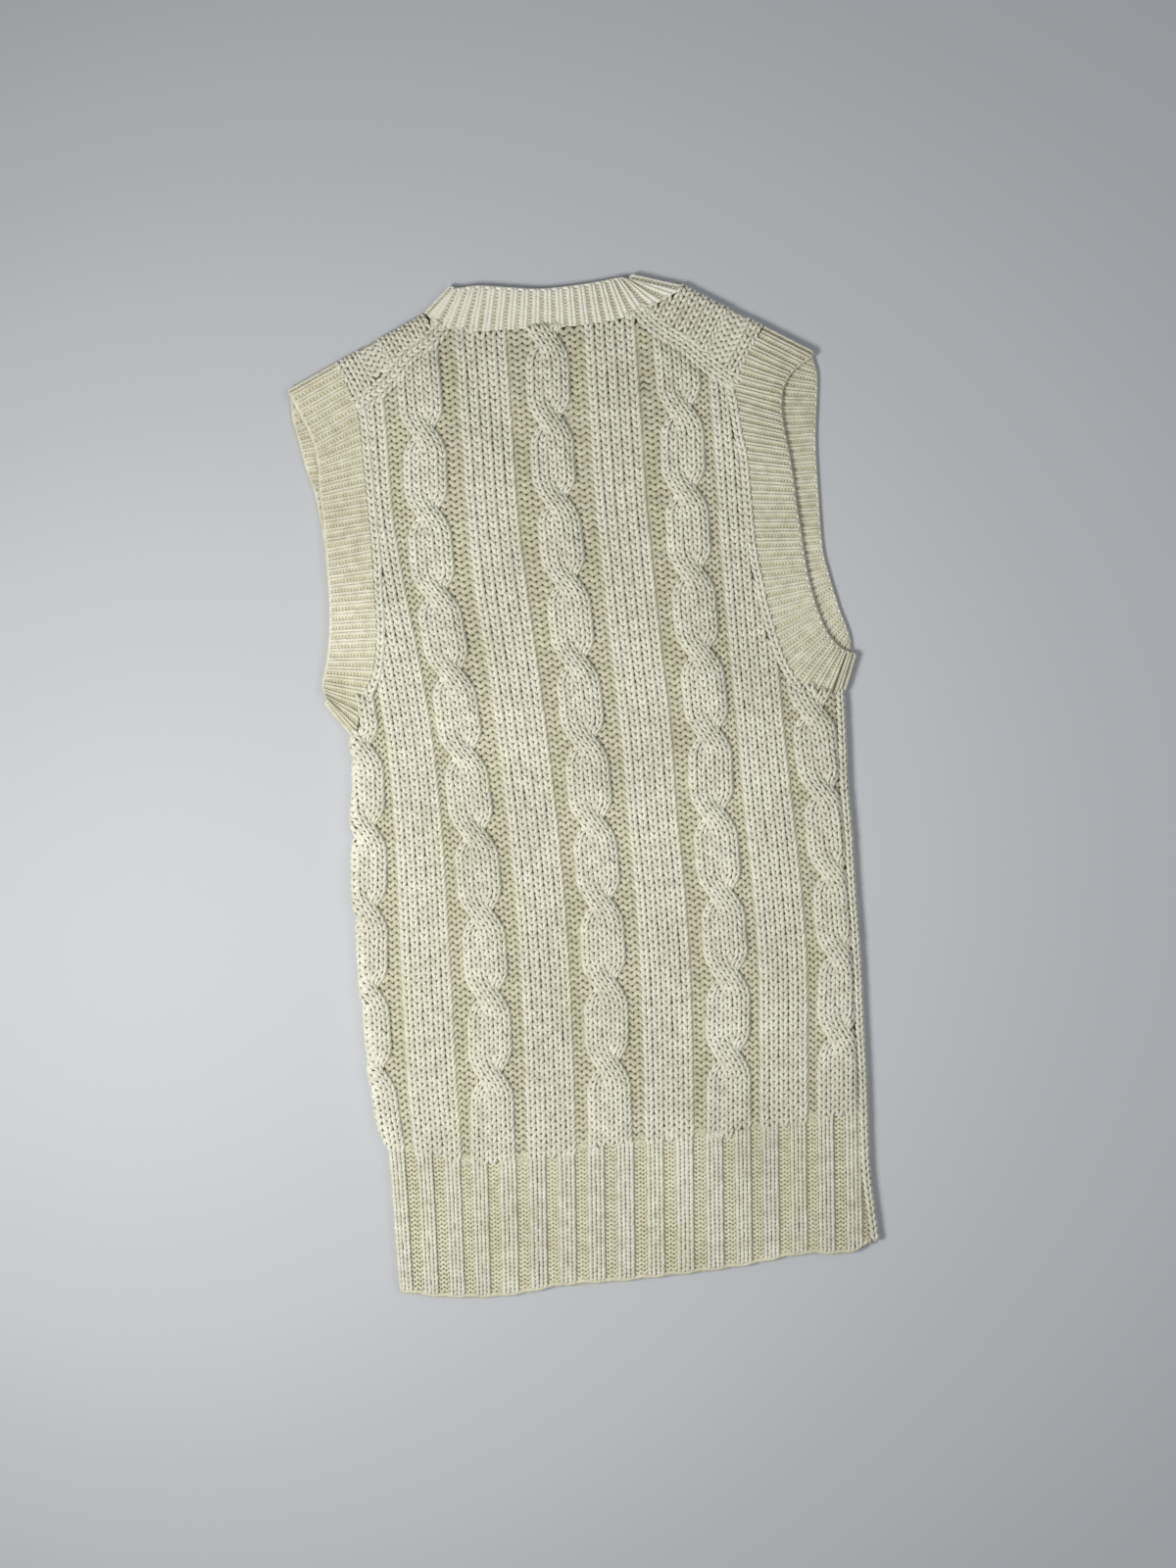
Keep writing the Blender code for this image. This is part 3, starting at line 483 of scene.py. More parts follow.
# -------- seams
def distance_to(points, x, y):
    """How far the places at x and y lie from a line through the points."""
    nearest = np.full(x.shape, 1e9)
    for (ax, ay), (bx, by) in zip(points[:-1], points[1:]):
        dx, dy = bx - ax, by - ay
        share = np.clip(((x - ax) * dx + (y - ay) * dy) / (dx * dx + dy * dy), 0, 1)
        nearest = np.minimum(nearest, np.hypot(x - ax - share * dx, y - ay - share * dy))
    return nearest


def seam_line(rows, seam_end):
    """An armhole band's seam with the back, from the underarm up to the shoulder seam."""
    points = even_points([row[:2] for row in rows], 4)
    return points[points[:, 1] < seam_end[1]]


LEFT_ARMHOLE = seam_line(LEFT_BAND_BACK[::-1], LEFT_SHOULDER_SEAM[-1])
RIGHT_ARMHOLE = seam_line(RIGHT_BAND_BACK, RIGHT_SHOULDER_SEAM[-1])
LEFT_SEAM = even_points(LEFT_SHOULDER_SEAM, 4)
RIGHT_SEAM = even_points(RIGHT_SHOULDER_SEAM, 4)
LEFT_SIDE = LEFT_ARMHOLE[LEFT_ARMHOLE[:, 1] > EDGE_FOOT[0]]
RIGHT_SIDE = RIGHT_ARMHOLE[RIGHT_ARMHOLE[:, 1] > EDGE_FOOT[1]]


def past_edges(x, y):
    """Distance of a point of the back beyond the stitches that run along its seams."""
    distance = np.full(np.shape(x), 99.0)
    for seam in (LEFT_SIDE, RIGHT_SIDE, LEFT_SEAM, RIGHT_SEAM):
        distance = np.minimum(distance, distance_to(seam, x, y))
    return distance - EDGE_WALE


# -------- the back's cables
def crossing_height(cable, number):
    return FIRST_CROSSING - CROSSING_PITCH * number + CABLE_LIFT[cable]


def strands(cable, y, number=None):
    """How far the strands have swung at a height, and how near it is to a crossing."""
    if number is None:
        number = np.round((crossing_height(cable, 0) - y) / CROSSING_PITCH)
    number = np.clip(number, FIRST_CROSSING_SHOWN[cable], CROSSINGS - 1)
    t = (crossing_height(cable, number) - y) / CROSSING_PITCH / CROSSING_SHARE
    return np.sin(0.5 * math.pi * np.clip(t, -1, 1)), 1 - smoothstep(np.abs(t))


def dome(offset, half, crest):
    return PURL + (crest - PURL) * np.sqrt(np.maximum(1 - (offset / half) ** 2, 0))


def cable_height(cable, offset, y, upper):
    """Height of one of a cable's strands, which sinks to the ribbing's at its lower end."""
    swing, near = strands(cable, y)
    whole = dome(offset, UPPER_HALF + UPPER_SWING, mix(CABLE, PURL, near))
    if upper:
        strand = dome(offset - UPPER_SWING * swing, UPPER_HALF, CABLE + CROSSING_RISE * near)
    else:
        strand = dome(offset + LOWER_SWING * swing, LOWER_HALF, CABLE - CROSSING_DIP * near)
    x = MIDDLE_AT[cable](y) + offset
    above = smoothstep((y - RIB_TOP_AT(x)) / CABLE_RUN)
    return mix(STOCKING, np.maximum(strand, whole), above * smoothstep((past_edges(x, y) + 2) / 9))


def course(left_cable, share, row):
    """Height of a row of stitches, at a share of the way from one cable to the next."""
    left = min(max(left_cable, 0), 3)
    lift = mix(CABLE_LIFT[left], CABLE_LIFT[left + 1], min(max(share + left_cable - left, 0), 1))
    return FIRST_CROSSING + lift - ROW * row


def panel_half(pitch):
    return PANEL_HALF + PANEL_SHARE * pitch


# -------- pieces and yarn
def new_piece(name, mesh):
    """A piece of the scene, on the vest's one body."""
    piece = bpy.data.objects.new(name, mesh)
    bpy.context.scene.collection.objects.link(piece)
    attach(piece, "root")
    return piece


class Yarn:
    """Half tubes of yarn that make up one piece of the scene."""

    def __init__(self):
        self.spots = []
        self.faces = []
        self.ways = []
        self.count = 0
        self.tubes = 0

    def add(self, spots):
        """Tubes as an array: tube, place along it, place across it, coordinate."""
        tubes, along, across, _ = spots.shape
        index = np.arange(tubes * along * across).reshape(tubes, along, across) + self.count
        quads = (index[:, :-1, :-1], index[:, :-1, 1:], index[:, 1:, 1:], index[:, 1:, :-1])
        self.faces.append(together(*quads).reshape(-1, 4))
        self.spots.append(spots.reshape(-1, 3))
        number = np.arange(self.tubes, self.tubes + tubes)[:, None, None]
        way = np.linspace(0, (along - 1) / 4, along)[:, None] + 0.618 * number
        self.ways.append(together(way, np.linspace(0, 1, across)).reshape(-1, 2))
        self.count += tubes * along * across
        self.tubes += tubes

    def make(self, name, material, body_slot="cable_knit"):
        spots = (np.concatenate(self.spots) - ORIGIN) * MM
        spots[:, 2] = np.maximum(spots[:, 2], 0.0)
        faces = np.concatenate(self.faces)
        mesh = bpy.data.meshes.new(name)
        mesh.from_pydata(spots.tolist(), [], faces.tolist())
        ways = np.concatenate(self.ways)[faces.ravel()]
        mesh.uv_layers.new(name="yarn").data.foreach_set("uv", ways.astype(np.float32).ravel())
        mesh.shade_smooth()
        mesh.materials.append(material)
        return new_piece(name, mesh)


def level(height):
    """A surface that is equally high all over."""
    return lambda x, y: height


def knit(yarn, rows, column, place, surface, leg=LEG, keep=None, up=-1, depth=YARN_DEPTH):
    """Knit stitches in one column: two legs each, that lean apart towards their tops. The
    column gives its middle and width at a row, place takes these to space, surface gives the
    cloth's height, and keep tells which stitches show. up is 1 where rows count upwards."""
    rise, aside, half, crest = np.array(leg).T[:, :, None]
    section = crest - depth * (1 - ROUND[:, 1]) * (half / 0.25)
    if keep is not None:
        x, y, _ = column(rows + 0.5 * up, rows)
        rows = rows[keep(x, y)]
    uneven = CHANCE.normal(0.0, 1.0, (4, len(rows), 1, 1)) * np.reshape(UNEVEN, (4, 1, 1, 1))
    at = rows[:, None, None] + up * rise + uneven[0]
    x, y, width = column(at, rows[:, None, None])
    x = x + uneven[1] * width
    width = width * (1 + uneven[2])
    for side in (-1, 1):
        px = x + (side * aside + half * ROUND[:, 0]) * width
        height = surface(px, y) + section + uneven[3]
        spots = place(px, y, height)
        if (side > 0) == (up < 0):
            spots = spots[:, :, ::-1]
        yarn.add(spots)


def purl(yarn, rows, ends, place, surface, waves, half, wave=1.0, crest=0.6, depth=0.9, keep=None):
    """Purl stitches: one wavy yarn a row from one end to the other. Half its width, the
    reach of its waves and its crest are given. It is thicker between its loops, so that only
    a dot is open above each of them."""
    share = np.linspace(0, 1, int(8 * waves) + 1)
    turn = np.cos(2 * math.pi * waves * share)
    start, end, y = np.broadcast_arrays(*ends(rows[:, None]))
    if keep is not None:
        kept = keep((start + end) / 2, y)[:, 0]
        start, end, y = start[kept], end[kept], y[kept]
    x = mix(start, end, share)
    y = y + wave * turn
    thick = half * (1.42 - 0.62 * turn**4)
    py = y[:, :, None] + thick[:, None] * ROUND[:, 0]
    px = np.broadcast_to(x[:, :, None], py.shape)
    swell = crest - 0.25 + 0.3 * turn * turn
    height = surface(px, py) + swell[:, None] - depth * (1 - ROUND[:, 1])
    height = height + 0.05 * CHANCE.normal(0.0, 1.0, (len(x), 1, 1))
    yarn.add(place(px, py, height))


# -------- the back panel
def back_outline():
    """Where the back's stitches show, on the unrolled cloth."""
    ys = np.linspace(-310, SIDE_TOP + 1.5, 40)
    right = together(RIGHT_AT(ys) - OVER_STRIP + 3.2, ys)
    neck = even_points([row[:2] for row in NECKBAND_BACK[::-1]], 4) + (0, 1.5)
    neck = neck[(neck[:, 0] < RIGHT_SHOULDER_SEAM[0][0]) & (neck[:, 0] > LEFT_SHOULDER_SEAM[0][0])]
    top = np.array([(LEFT_AT(SIDE_TOP) + FOLD_RADIUS, SIDE_TOP + 2.0)])
    left = together(LEFT_AT(ys) + FOLD_RADIUS - 0.8 * ROLL_LENGTH, ys)[::-1]
    right_armhole = RIGHT_ARMHOLE - 2.0 * to_the_left(RIGHT_ARMHOLE)
    left_armhole = (LEFT_ARMHOLE + 2.0 * to_the_left(LEFT_ARMHOLE))[::-1]
    lines = (right, right_armhole, RIGHT_SEAM[::-1], neck, LEFT_SEAM, left_armhole, top, left)
    return np.concatenate(lines)


BACK_OUTLINE = back_outline()


def on_back(x, y):
    return inside_outline(x, y, BACK_OUTLINE)


def in_body(tuck):
    """Tells which stitches of the back's body to keep, by how far they reach under the
    stitches along its seams."""

    def keep(x, y):
        return on_back(x, y) & (y > RIB_TOP_AT(x) - RIB_SINK) & (past_edges(x, y) > -tuck)

    return keep


BODY_ROWS = np.arange(-3, 124)


def body_cables():
    yarn = Yarn()
    for cable in range(5):
        for upper, track in ((True, -1), (True, 0), (True, 1), (False, -0.5), (False, 0.5)):

            def column(at, row):
                y = course(cable, 0, at)
                swing, _ = strands(cable, y, np.round(row / 12))
                offset = UPPER_SWING * swing if upper else -LOWER_SWING * swing
                return MIDDLE_AT[cable](y) + offset + track * TRACK, y, TRACK + 0.1

            def surface(x, y):
                return cable_height(cable, x - MIDDLE_AT[cable](y), y, upper)

            knit(yarn, BODY_ROWS, column, place_body, surface, keep=in_body(KNIT_TUCK))
    return yarn


def body_panels():
    yarn = Yarn()
    for left in range(4):
        for wale in range(-2, 3):

            def column(at, _):
                y = course(left, 0.5, at)
                near, far = MIDDLE_AT[left](y), MIDDLE_AT[left + 1](y)
                width = panel_half(far - near) / 2.5
                return (near + far) / 2 + wale * width, y, width

            knit(yarn, BODY_ROWS, column, place_body, level(STOCKING), keep=in_body(KNIT_TUCK))
    return yarn


def body_gutters():
    """Purl rows from each cable out to the panels beside it."""
    yarn = Yarn()
    for cable in range(5):
        for side in (-1, 1):

            def ends(row):
                y = course(cable if side > 0 else cable - 1, 0.2 if side > 0 else 0.8, row)
                near = MIDDLE_AT[cable](y)
                if 0 <= cable + side <= 4:
                    far = MIDDLE_AT[cable + side](y)
                else:
                    far = near + side * OUTER_PITCH
                edge = (near + far) / 2 - side * (panel_half(abs(far - near)) - 0.8)
                return near + side * GUTTER_FOOT, edge, y

            purl(yarn, BODY_ROWS, ends, place_body, level(PURL), 2.5, 1.58, keep=in_body(PURL_TUCK))
    return yarn


# -------- hem ribbing
def hem_spot(share, part):
    """A point of the ribbing and the width of a rib there. The share counts the cables from
    the left one, and the part runs from 0 at the ribs' upper end to 1 at the lower edge."""
    share, part = np.broadcast_arrays(share, part)
    right = np.clip(np.floor(share) + 1, 1, 4).astype(int)
    y = HEM_AT(np.zeros(share.shape)) + HEM_LENGTH * (1 - part)
    for _ in range(4):
        middles = [middle(y) for middle in MIDDLE_AT]
        near, far = np.choose(right - 1, middles), np.choose(right, middles)
        x = mix(near, far, share - right + 1)
        y = mix(RIB_TOP_AT(x) - RIB_SINK, HEM_AT(x), part)
    return x, y, (far - near) / RIBS_PER_REPEAT


def hem_part(row):
    return (row + 0.5) * HEM_ROW / HEM_LENGTH


def hem():
    ribs, purls = Yarn(), Yarn()
    rows = np.arange(0, 31)
    purl_rows = np.arange(-2, 31)
    for rib in range(-RIBS_PER_REPEAT, 5 * RIBS_PER_REPEAT + 4):
        for wale in (0.355, 0.645):

            def column(at, _):
                x, y, pitch = hem_spot((rib + wale) / RIBS_PER_REPEAT, hem_part(at))
                return x, y, 0.29 * pitch

            knit(ribs, rows, column, place_back, level(RIB_CREST), RIB_LEG, on_back, depth=0.9)

        def ends(row):
            low, y, _ = hem_spot((rib - 0.22) / RIBS_PER_REPEAT, hem_part(row))
            high, y_high, _ = hem_spot((rib + 0.22) / RIBS_PER_REPEAT, hem_part(row))
            return low, high, (y + y_high) / 2

        shape = {"waves": 2, "half": 1.05, "wave": 0.55, "crest": 0.3, "depth": 0.7}
        purl(purls, purl_rows, ends, place_back, level(RIB_TROUGH), keep=on_back, **shape)
    return ribs, purls


# -------- the front's edges
def side_strip():
    """The front's stitches round the right edge, up to the side seam."""
    yarn = Yarn()
    low = HEM_AT(148) + FRONT_RISE
    for k in range(2):

        def column(at, _):
            y = course(3, 1, at)
            seam = RIGHT_AT(y) - 2 * FOLD_RADIUS + ROLL_LENGTH + OVER_STRIP
            return seam - 2.7 - 5.9 * k, y, SIDE_WALE

        def keep(x, y):
            return (y < SIDE_TOP + 2) & (y > low - 1.5)

        knit(yarn, np.arange(50, 145), column, place_side, level(PLAIN - 0.3), keep=keep)
    return yarn


def covered(rows):
    """The part of the back that a band's flat stretch lies beside."""
    rows = np.array(rows, float)
    return np.concatenate((even_points(rows[:, :2], 4), even_points(rows[:, 2:], 4)[::-1]))


NECKBAND_AREA = covered([LEFT_NECK_ROLL.row, *NECKBAND_BACK, RIGHT_NECK_ROLL.row])
LEFT_BAND_AREA = covered([LEFT_BAND_ROLL.row, *LEFT_BAND_BACK])
RIGHT_BAND_AREA = covered([*RIGHT_BAND_BACK, RIGHT_BAND_ROLL.row])


def shoulder_stitches(turn, seam, last):
    """The front's stitches that lie over the back at a shoulder. The last one on the fold
    is at this distance from the neck."""
    knits, purls = Yarn(), Yarn()
    seam_along, seam_out = turn.measure(seam)

    def keep(along, past):
        spot = turn.place(along, past, PLAIN)
        x, y = spot[..., 0], spot[..., 1]
        on_fold = (past < ROLL_LENGTH) & (along > -1) & (along < last)
        reach = np.interp(along, seam_along, -seam_out) - EDGE_WALE + 1.5
        on_top = (past >= ROLL_LENGTH) & (past - ROLL_LENGTH < reach)
        on_top &= (along > seam_along.min()) & (along < seam_along.max() + 2)
        on_top &= ~inside_outline(x + 2.0 * np.sign(x), y, NECKBAND_AREA)
        for area in (LEFT_BAND_AREA, RIGHT_BAND_AREA):
            on_top &= ~inside_outline(x, y, area)
        return (past > 2.0) & (on_fold | on_top)

    low, high = SHOULDER_GUTTER
    near = np.arange(low - 2.9, -32, -SHOULDER_WALE)
    wales = np.concatenate((near, np.arange(high + 2.9, 100, SHOULDER_WALE)))
    rows = np.arange(0, 18)
    for along in wales:

        def column(at, _):
            return along, at * ROW, SHOULDER_WALE

        knit(knits, rows, column, turn.place, level(STOCKING), keep=keep, up=1)

    def ends(row):
        return low - 0.5, high + 0.5, row * ROW

    purl(purls, rows, ends, turn.place, level(PLAIN - 0.2), 2.5, 1.62, 0.9, keep=keep)
    return knits, purls


# -------- bands
def band_stitches(band, rib, inner_shows, trough):
    """Ribs that run across a band: a knit column and a purl one in turn. They lie on its
    outer side, and on the inner side of its lower layer where that shows."""
    cords, purls = Yarn(), Yarn()
    count = round(band.length / rib)
    rib = band.length / count
    rows = np.arange(0, int((band.width - 1.2) / BAND_ROW) + 1)
    for side in (1, -1) if inner_shows else (1,):
        for k in range(count):
            along = (k + 0.5) * rib
            turn = band.turn(along)
            shows = turn < OUTER_TURNS if side > 0 else turn > INNER_TURNS
            if not shows:
                continue

            def column(at, _):
                return along, at * BAND_ROW, 0.7 * rib

            def ends(row):
                return along + 0.27 * rib, along + 0.73 * rib, row * BAND_ROW

            def place(along, across, height):
                across = np.clip(across, 0.2, band.width - 0.35)
                height = height - 1.1 * smoothstep((across - band.width + 2.2) / 2.2)
                if side < 0:
                    height = 1.9 - height * 0.72
                return band.place(along, across, height)

            knit(cords, rows, column, place, level(RIB_CREST), BAND_LEG, up=1, depth=1.5)
            purl(purls, rows, ends, place, level(trough), 1, 0.82, 0.35, 0.3, 0.6)
    return cords, purls


def rim(yarn, length, section, radius, beads):
    """A cast-off edge: a round tube with a small swell for each stitch. The section gives a
    point by the way along, and the tube's reach sideways and up."""
    along = np.linspace(0, length, max(int(length / beads * 4), 2))[:, None]
    angle = np.linspace(0, 2 * math.pi, 9)
    reach = radius * (1 + 0.04 * np.cos(2 * math.pi * along / beads))
    yarn.add(section(along, reach * np.cos(angle), reach * np.sin(angle))[None])


def band_rim(yarn, band, rib):
    def section(along, side, up):
        return band.place(along, band.width - 1.05 + side, 1.2 + up)

    rim(yarn, band.length, section, 1.0, band.length / round(band.length / rib))


def dress_band(name, band, rib, inner_shows, trough, paint, purl_paint):
    """The ribs and the rim on one band."""
    cords, purls = band_stitches(band, rib, inner_shows, trough)
    band_rim(cords, band, rib)
    ribs = cords.make(name + "_ribs", paint, "rib_knit")
    return [ribs, purls.make(name + "_purl_columns", purl_paint, "rib_knit")]


def hem_rim(yarn):
    low, high = HEM_RIM_SHARES
    length = 320.0

    def section(along, side, up):
        share = low + (high - low) * along / length
        x, y, _ = hem_spot(share, 1.0)
        scallop = 0.45 * np.cos(2 * math.pi * RIBS_PER_REPEAT * share)
        return place_back(x, y + 0.9 + scallop - side, 1.45 + up)

    rim(yarn, length, section, 1.35, 2.9)


# -------- stitches along the seams
def longer(points, before, after):
    """A line with both of its ends drawn out straight."""
    start, end = points[0] - points[1], points[-1] - points[-2]
    first = points[0] + start / np.linalg.norm(start) * before
    last = points[-1] + end / np.linalg.norm(end) * after
    return np.concatenate(([first], points, [last]))


def edge_chain(yarn, points, left):
    """One column of stitches beside a line on the back, at a distance to its left."""
    reach = np.append(0, np.cumsum(np.linalg.norm(np.diff(points, axis=0), axis=1)))
    line = np.concatenate((points, to_the_left(points)), axis=1)

    def place(aside, along, height):
        x, y, dx, dy = (np.interp(along, reach, column) for column in line.T)
        return place_back(x + dx * aside, y + dy * aside, height)

    def column(at, _):
        return left, at * ROW, EDGE_WALE

    rows = np.arange(0, int(reach[-1] / ROW))
    knit(yarn, rows, column, place, level(STOCKING + 0.1), up=1)


# -------- materials
class Nodes:
    """The nodes of one material, added one by one."""

    def __init__(self, name, roughness, sheen=0.0):
        self.material = bpy.data.materials.new(name)
        self.material.use_nodes = True
        self.tree = self.material.node_tree
        self.shader = self.tree.nodes["Principled BSDF"]
        self.shader.inputs["Roughness"].default_value = roughness
        self.shader.inputs["Sheen Weight"].default_value = sheen
        self.shader.inputs["Sheen Roughness"].default_value = 0.4

    def add(self, kind, output, inputs, **settings):
        """A node by its kind, with inputs that are values or other nodes' outputs."""
        node = self.tree.nodes.new("ShaderNode" + kind)
        for key, value in settings.items():
            setattr(node, key, value)
        for key, value in inputs.items():
            self.set(node.inputs[key], value)
        return node.outputs[output]

    def set(self, socket, value):
        if isinstance(value, bpy.types.NodeSocket):
            self.tree.links.new(value, socket)
        else:
            socket.default_value = value

    def math(self, operation, first, second=0.0):
        return self.add("Math", 0, {0: first, 1: second}, operation=operation)

    def noise(self, where, scale, detail=2.0):
        return self.add("TexNoise", "Fac", {"Vector": where, "Scale": scale, "Detail": detail})

    def between(self, share, dark, light):
        inputs = {"Factor": share, 6: (*dark, 1.0), 7: (*light, 1.0)}
        return self.add("Mix", 2, inputs, data_type="RGBA")

    def blend(self, start, *parts):
        """A value with others added to it, each times its weight."""
        for part, weight in parts:
            start = self.math("ADD", start, self.math("MULTIPLY", part, weight))
        return start

    def place(self):
        return self.add("TexCoord", "Object", {})

    def surface(self, colour, grain, roughness, height, depth):
        """Links a colour, a range of roughness over the grain and a relief in metres."""
        low, high = roughness
        span = {"Value": grain, "From Min": 0.3, "From Max": 0.7, "To Min": low, "To Max": high}
        self.set(self.shader.inputs["Base Color"], colour)
        self.set(self.shader.inputs["Roughness"], self.add("MapRange", 0, span))
        bump = self.add("Bump", "Normal", {"Height": height, "Distance": depth, "Strength": 1.0})
        self.set(self.shader.inputs["Normal"], bump)
        return self.material


def yarn_paint(name, dark, light, dull, plied=0.38):
    """Plied cotton: slanted plies, fibres along the yarn, and tone that varies from stitch
    to stitch and from patch to patch. The colour is darker in the plies' grooves and towards
    both sides of each yarn: painted shade."""
    nodes = Nodes(name, 0.6, 0.3)
    way = nodes.add("UVMap", 0, {}, uv_map="yarn")
    twist = nodes.add("Mapping", 0, {"Vector": way, "Scale": (2.1, 0.95, 1.0)})
    ply = {"Vector": twist, "Scale": 1.0, "Distortion": 0.6, "Detail": 1.0}
    ply = nodes.add("TexWave", "Fac", ply, bands_direction="DIAGONAL")
    along = nodes.add("Mapping", 0, {"Vector": way, "Scale": (2.6, 11.0, 1.0)})
    fibre = nodes.noise(along, 1.0, 3.0)
    stitch = nodes.noise(nodes.place(), 170.0, 1.0)
    patch = nodes.noise(nodes.place(), 16.0, 2.0)
    # painted shade: the ply adds darker lines in its grooves; fibre, stitch and patch vary the tone at
    # random
    tone = nodes.blend(-0.62, (ply, 0.22), (fibre, 0.75), (stitch, 0.85), (patch, 0.75))
    # painted shade: the colour darkens towards both sides of each yarn, where its neighbours shade it
    across = nodes.add("SeparateXYZ", 1, {0: way})
    side = nodes.math("ABSOLUTE", nodes.math("SUBTRACT", across, 0.5))
    side = nodes.math("POWER", side, 3.0)
    colour = nodes.between(nodes.blend(tone, (side, -4.4)), dark, light)
    fuzz = nodes.noise(nodes.place(), 1500.0, 2.0)
    height = nodes.blend(0.0, (ply, plied), (fibre, 0.8), (fuzz, 0.35))
    return nodes.surface(colour, fibre, (dull - 0.1, dull + 0.1), height, 0.0003)


def plain_paint(name, dark, light, column, row):
    """Plain stocking stitch in low relief: leaning legs in columns. The colour follows the relief,
    darker where it is low between the legs: painted shade.
    """
    nodes = Nodes(name, 0.8, 0.3)
    place = nodes.place()
    parts = nodes.add("SeparateXYZ", 0, {0: place}).node.outputs
    across = nodes.math("PINGPONG", nodes.math("DIVIDE", parts[0], column), 0.5)
    up = nodes.math("ADD", nodes.math("DIVIDE", parts[1], row), nodes.math("MULTIPLY", across, 1.6))
    wave = nodes.math("MULTIPLY", nodes.math("SINE", nodes.math("MULTIPLY", up, 2 * math.pi)), 0.5)
    side = nodes.math("PINGPONG", nodes.math("MULTIPLY", across, 2.0), 0.5)
    relief = nodes.blend(wave, (side, 1.4))
    fuzz = nodes.noise(place, 700.0, 3.0)
    patch = nodes.noise(place, 20.0, 2.0)
    # painted shade: the relief darkens the colour between the legs; fuzz and patch vary it at random
    tone = nodes.blend(-0.02, (relief, 0.55), (fuzz, 0.4), (patch, 0.4))
    colour = nodes.between(tone, dark, light)
    return nodes.surface(colour, fuzz, (0.72, 0.9), nodes.blend(relief, (fuzz, 0.3)), 0.0007)


def shade_paint(name, dark, light):
    """Painted shade: a dark colour with a fine grain for the cloth deep between the stitches, standing
    in for the shade there.
    """
    nodes = Nodes(name, 0.9)
    grain = nodes.noise(nodes.place(), 600.0, 3.0)
    colour = nodes.between(grain, dark, light)
    return nodes.surface(colour, grain, (0.85, 0.97), grain, 0.0004)


BODY_YARN = yarn_paint("body_yarn", (0.50, 0.48, 0.345), (0.95, 0.935, 0.79), 0.55)
# Painted shade: the purl rows in the sunken gutters take a darker, more olive copy of the body yarn.
SHADED_GUTTER_YARN = yarn_paint("gutter_yarn_shaded", (0.38, 0.355, 0.225), (0.75, 0.72, 0.54), 0.66, 0.15)
BAND_YARN = yarn_paint("band_yarn", (0.52, 0.49, 0.33), (0.95, 0.925, 0.76), 0.6)
# Painted light: the neckband's knit columns take a lighter copy of the same yarn.
LIT_NECK_YARN = yarn_paint("neckband_yarn_lit", (0.88, 0.855, 0.69), (1.0, 0.99, 0.87), 0.6)
# Painted shade: the purl columns of the bands and the hem take a darker copy of the band yarn.
SHADED_PURL_YARN = yarn_paint("band_purl_yarn_shaded", (0.50, 0.47, 0.29), (0.86, 0.83, 0.63), 0.66, 0.15)
# Painted shade: the cloth under the stitches is dark where it shows between them, on the body and on the
# bands.
CORE_SHADE = shade_paint("cloth_core_shade", (0.09, 0.082, 0.042), (0.20, 0.185, 0.11))
BAND_SHADE = shade_paint("band_core_shade", (0.42, 0.385, 0.23), (0.62, 0.58, 0.38))
PLAIN_TONES = ((0.52, 0.49, 0.34), (0.90, 0.88, 0.72))
PLAIN_KNIT = plain_paint("plain_knit", *PLAIN_TONES, 0.0056, 0.0041)
PLAIN_RIB = plain_paint("plain_rib", *PLAIN_TONES, 0.0042, 0.0030)


# -------- cloth under the stitches
def lower(spots, beyond, way, sunk, depth, most=99.0, more=0.0):
    """Brings the outer side of cloth nearer to its inner side by the depth, and no further
    from it than most. beyond is the distance past the axis of a rolled edge, which the way
    points out from, sunk is how far the solid lies lower here, and more comes on top."""
    up = spots[:, 2] + sunk - FOLD_HEIGHT
    height = np.hypot(beyond, up) - HOLLOW_RADIUS
    depth = depth * smoothstep(spots[:, 2] / 4.0)
    thin = np.where(height > 1.0, np.maximum(height - depth, np.minimum(CORE_LEAST, height)), height)
    thin = np.where(depth > 0.5, np.minimum(thin, most), thin)
    scale = (HOLLOW_RADIUS + thin) / np.maximum(HOLLOW_RADIUS + height, 0.1)
    spots[:, :2] += way * (beyond * (scale - 1))[:, None]
    spots[:, 2] = FOLD_HEIGHT + up * scale - sunk - more


def lower_back(spots):
    x, y = spots[:, 0], spots[:, 1]
    beyond = np.maximum(LEFT_AT(y) + FOLD_RADIUS - x, 0)
    sunk = sag(x, y)
    up = spots[:, 2] + sunk - FOLD_HEIGHT
    above = y - RIB_TOP_AT(x)
    most = mix(CORE_AT_SEAMS, CORE_MOST, smoothstep(above / CABLE_RUN))
    most = np.where(above < -3, 99.0, most)
    most = np.minimum(most, mix(CORE_AT_SEAMS, CORE_MOST, smoothstep(past_edges(x, y) / 9)))
    more = creases(x, y) * mix(0.45, 1.0, smoothstep(up - 2.5))
    lower(spots, beyond, np.array((-1.0, 0.0)), sunk, CORE_DEPTH, most, more)


def lower_front(spots):
    beyond = np.maximum(spots[:, 0] - RIGHT_AT(spots[:, 1]) + FOLD_RADIUS, 0)
    beyond[spots[:, 1] > SIDE_TOP + 1] = 0
    way = np.tile((1.0, 0.0), (len(spots), 1))
    for turn in (LEFT_SHOULDER, RIGHT_SHOULDER):
        along, past = turn.measure(spots[:, :2])
        here = (past > 0) & (along > -8) & (spots[:, 1] > 200)
        beyond[here] = past[here]
        way[here] = turn.out
    lower(spots, beyond, way, 0.0, FRONT_CORE_DEPTH)


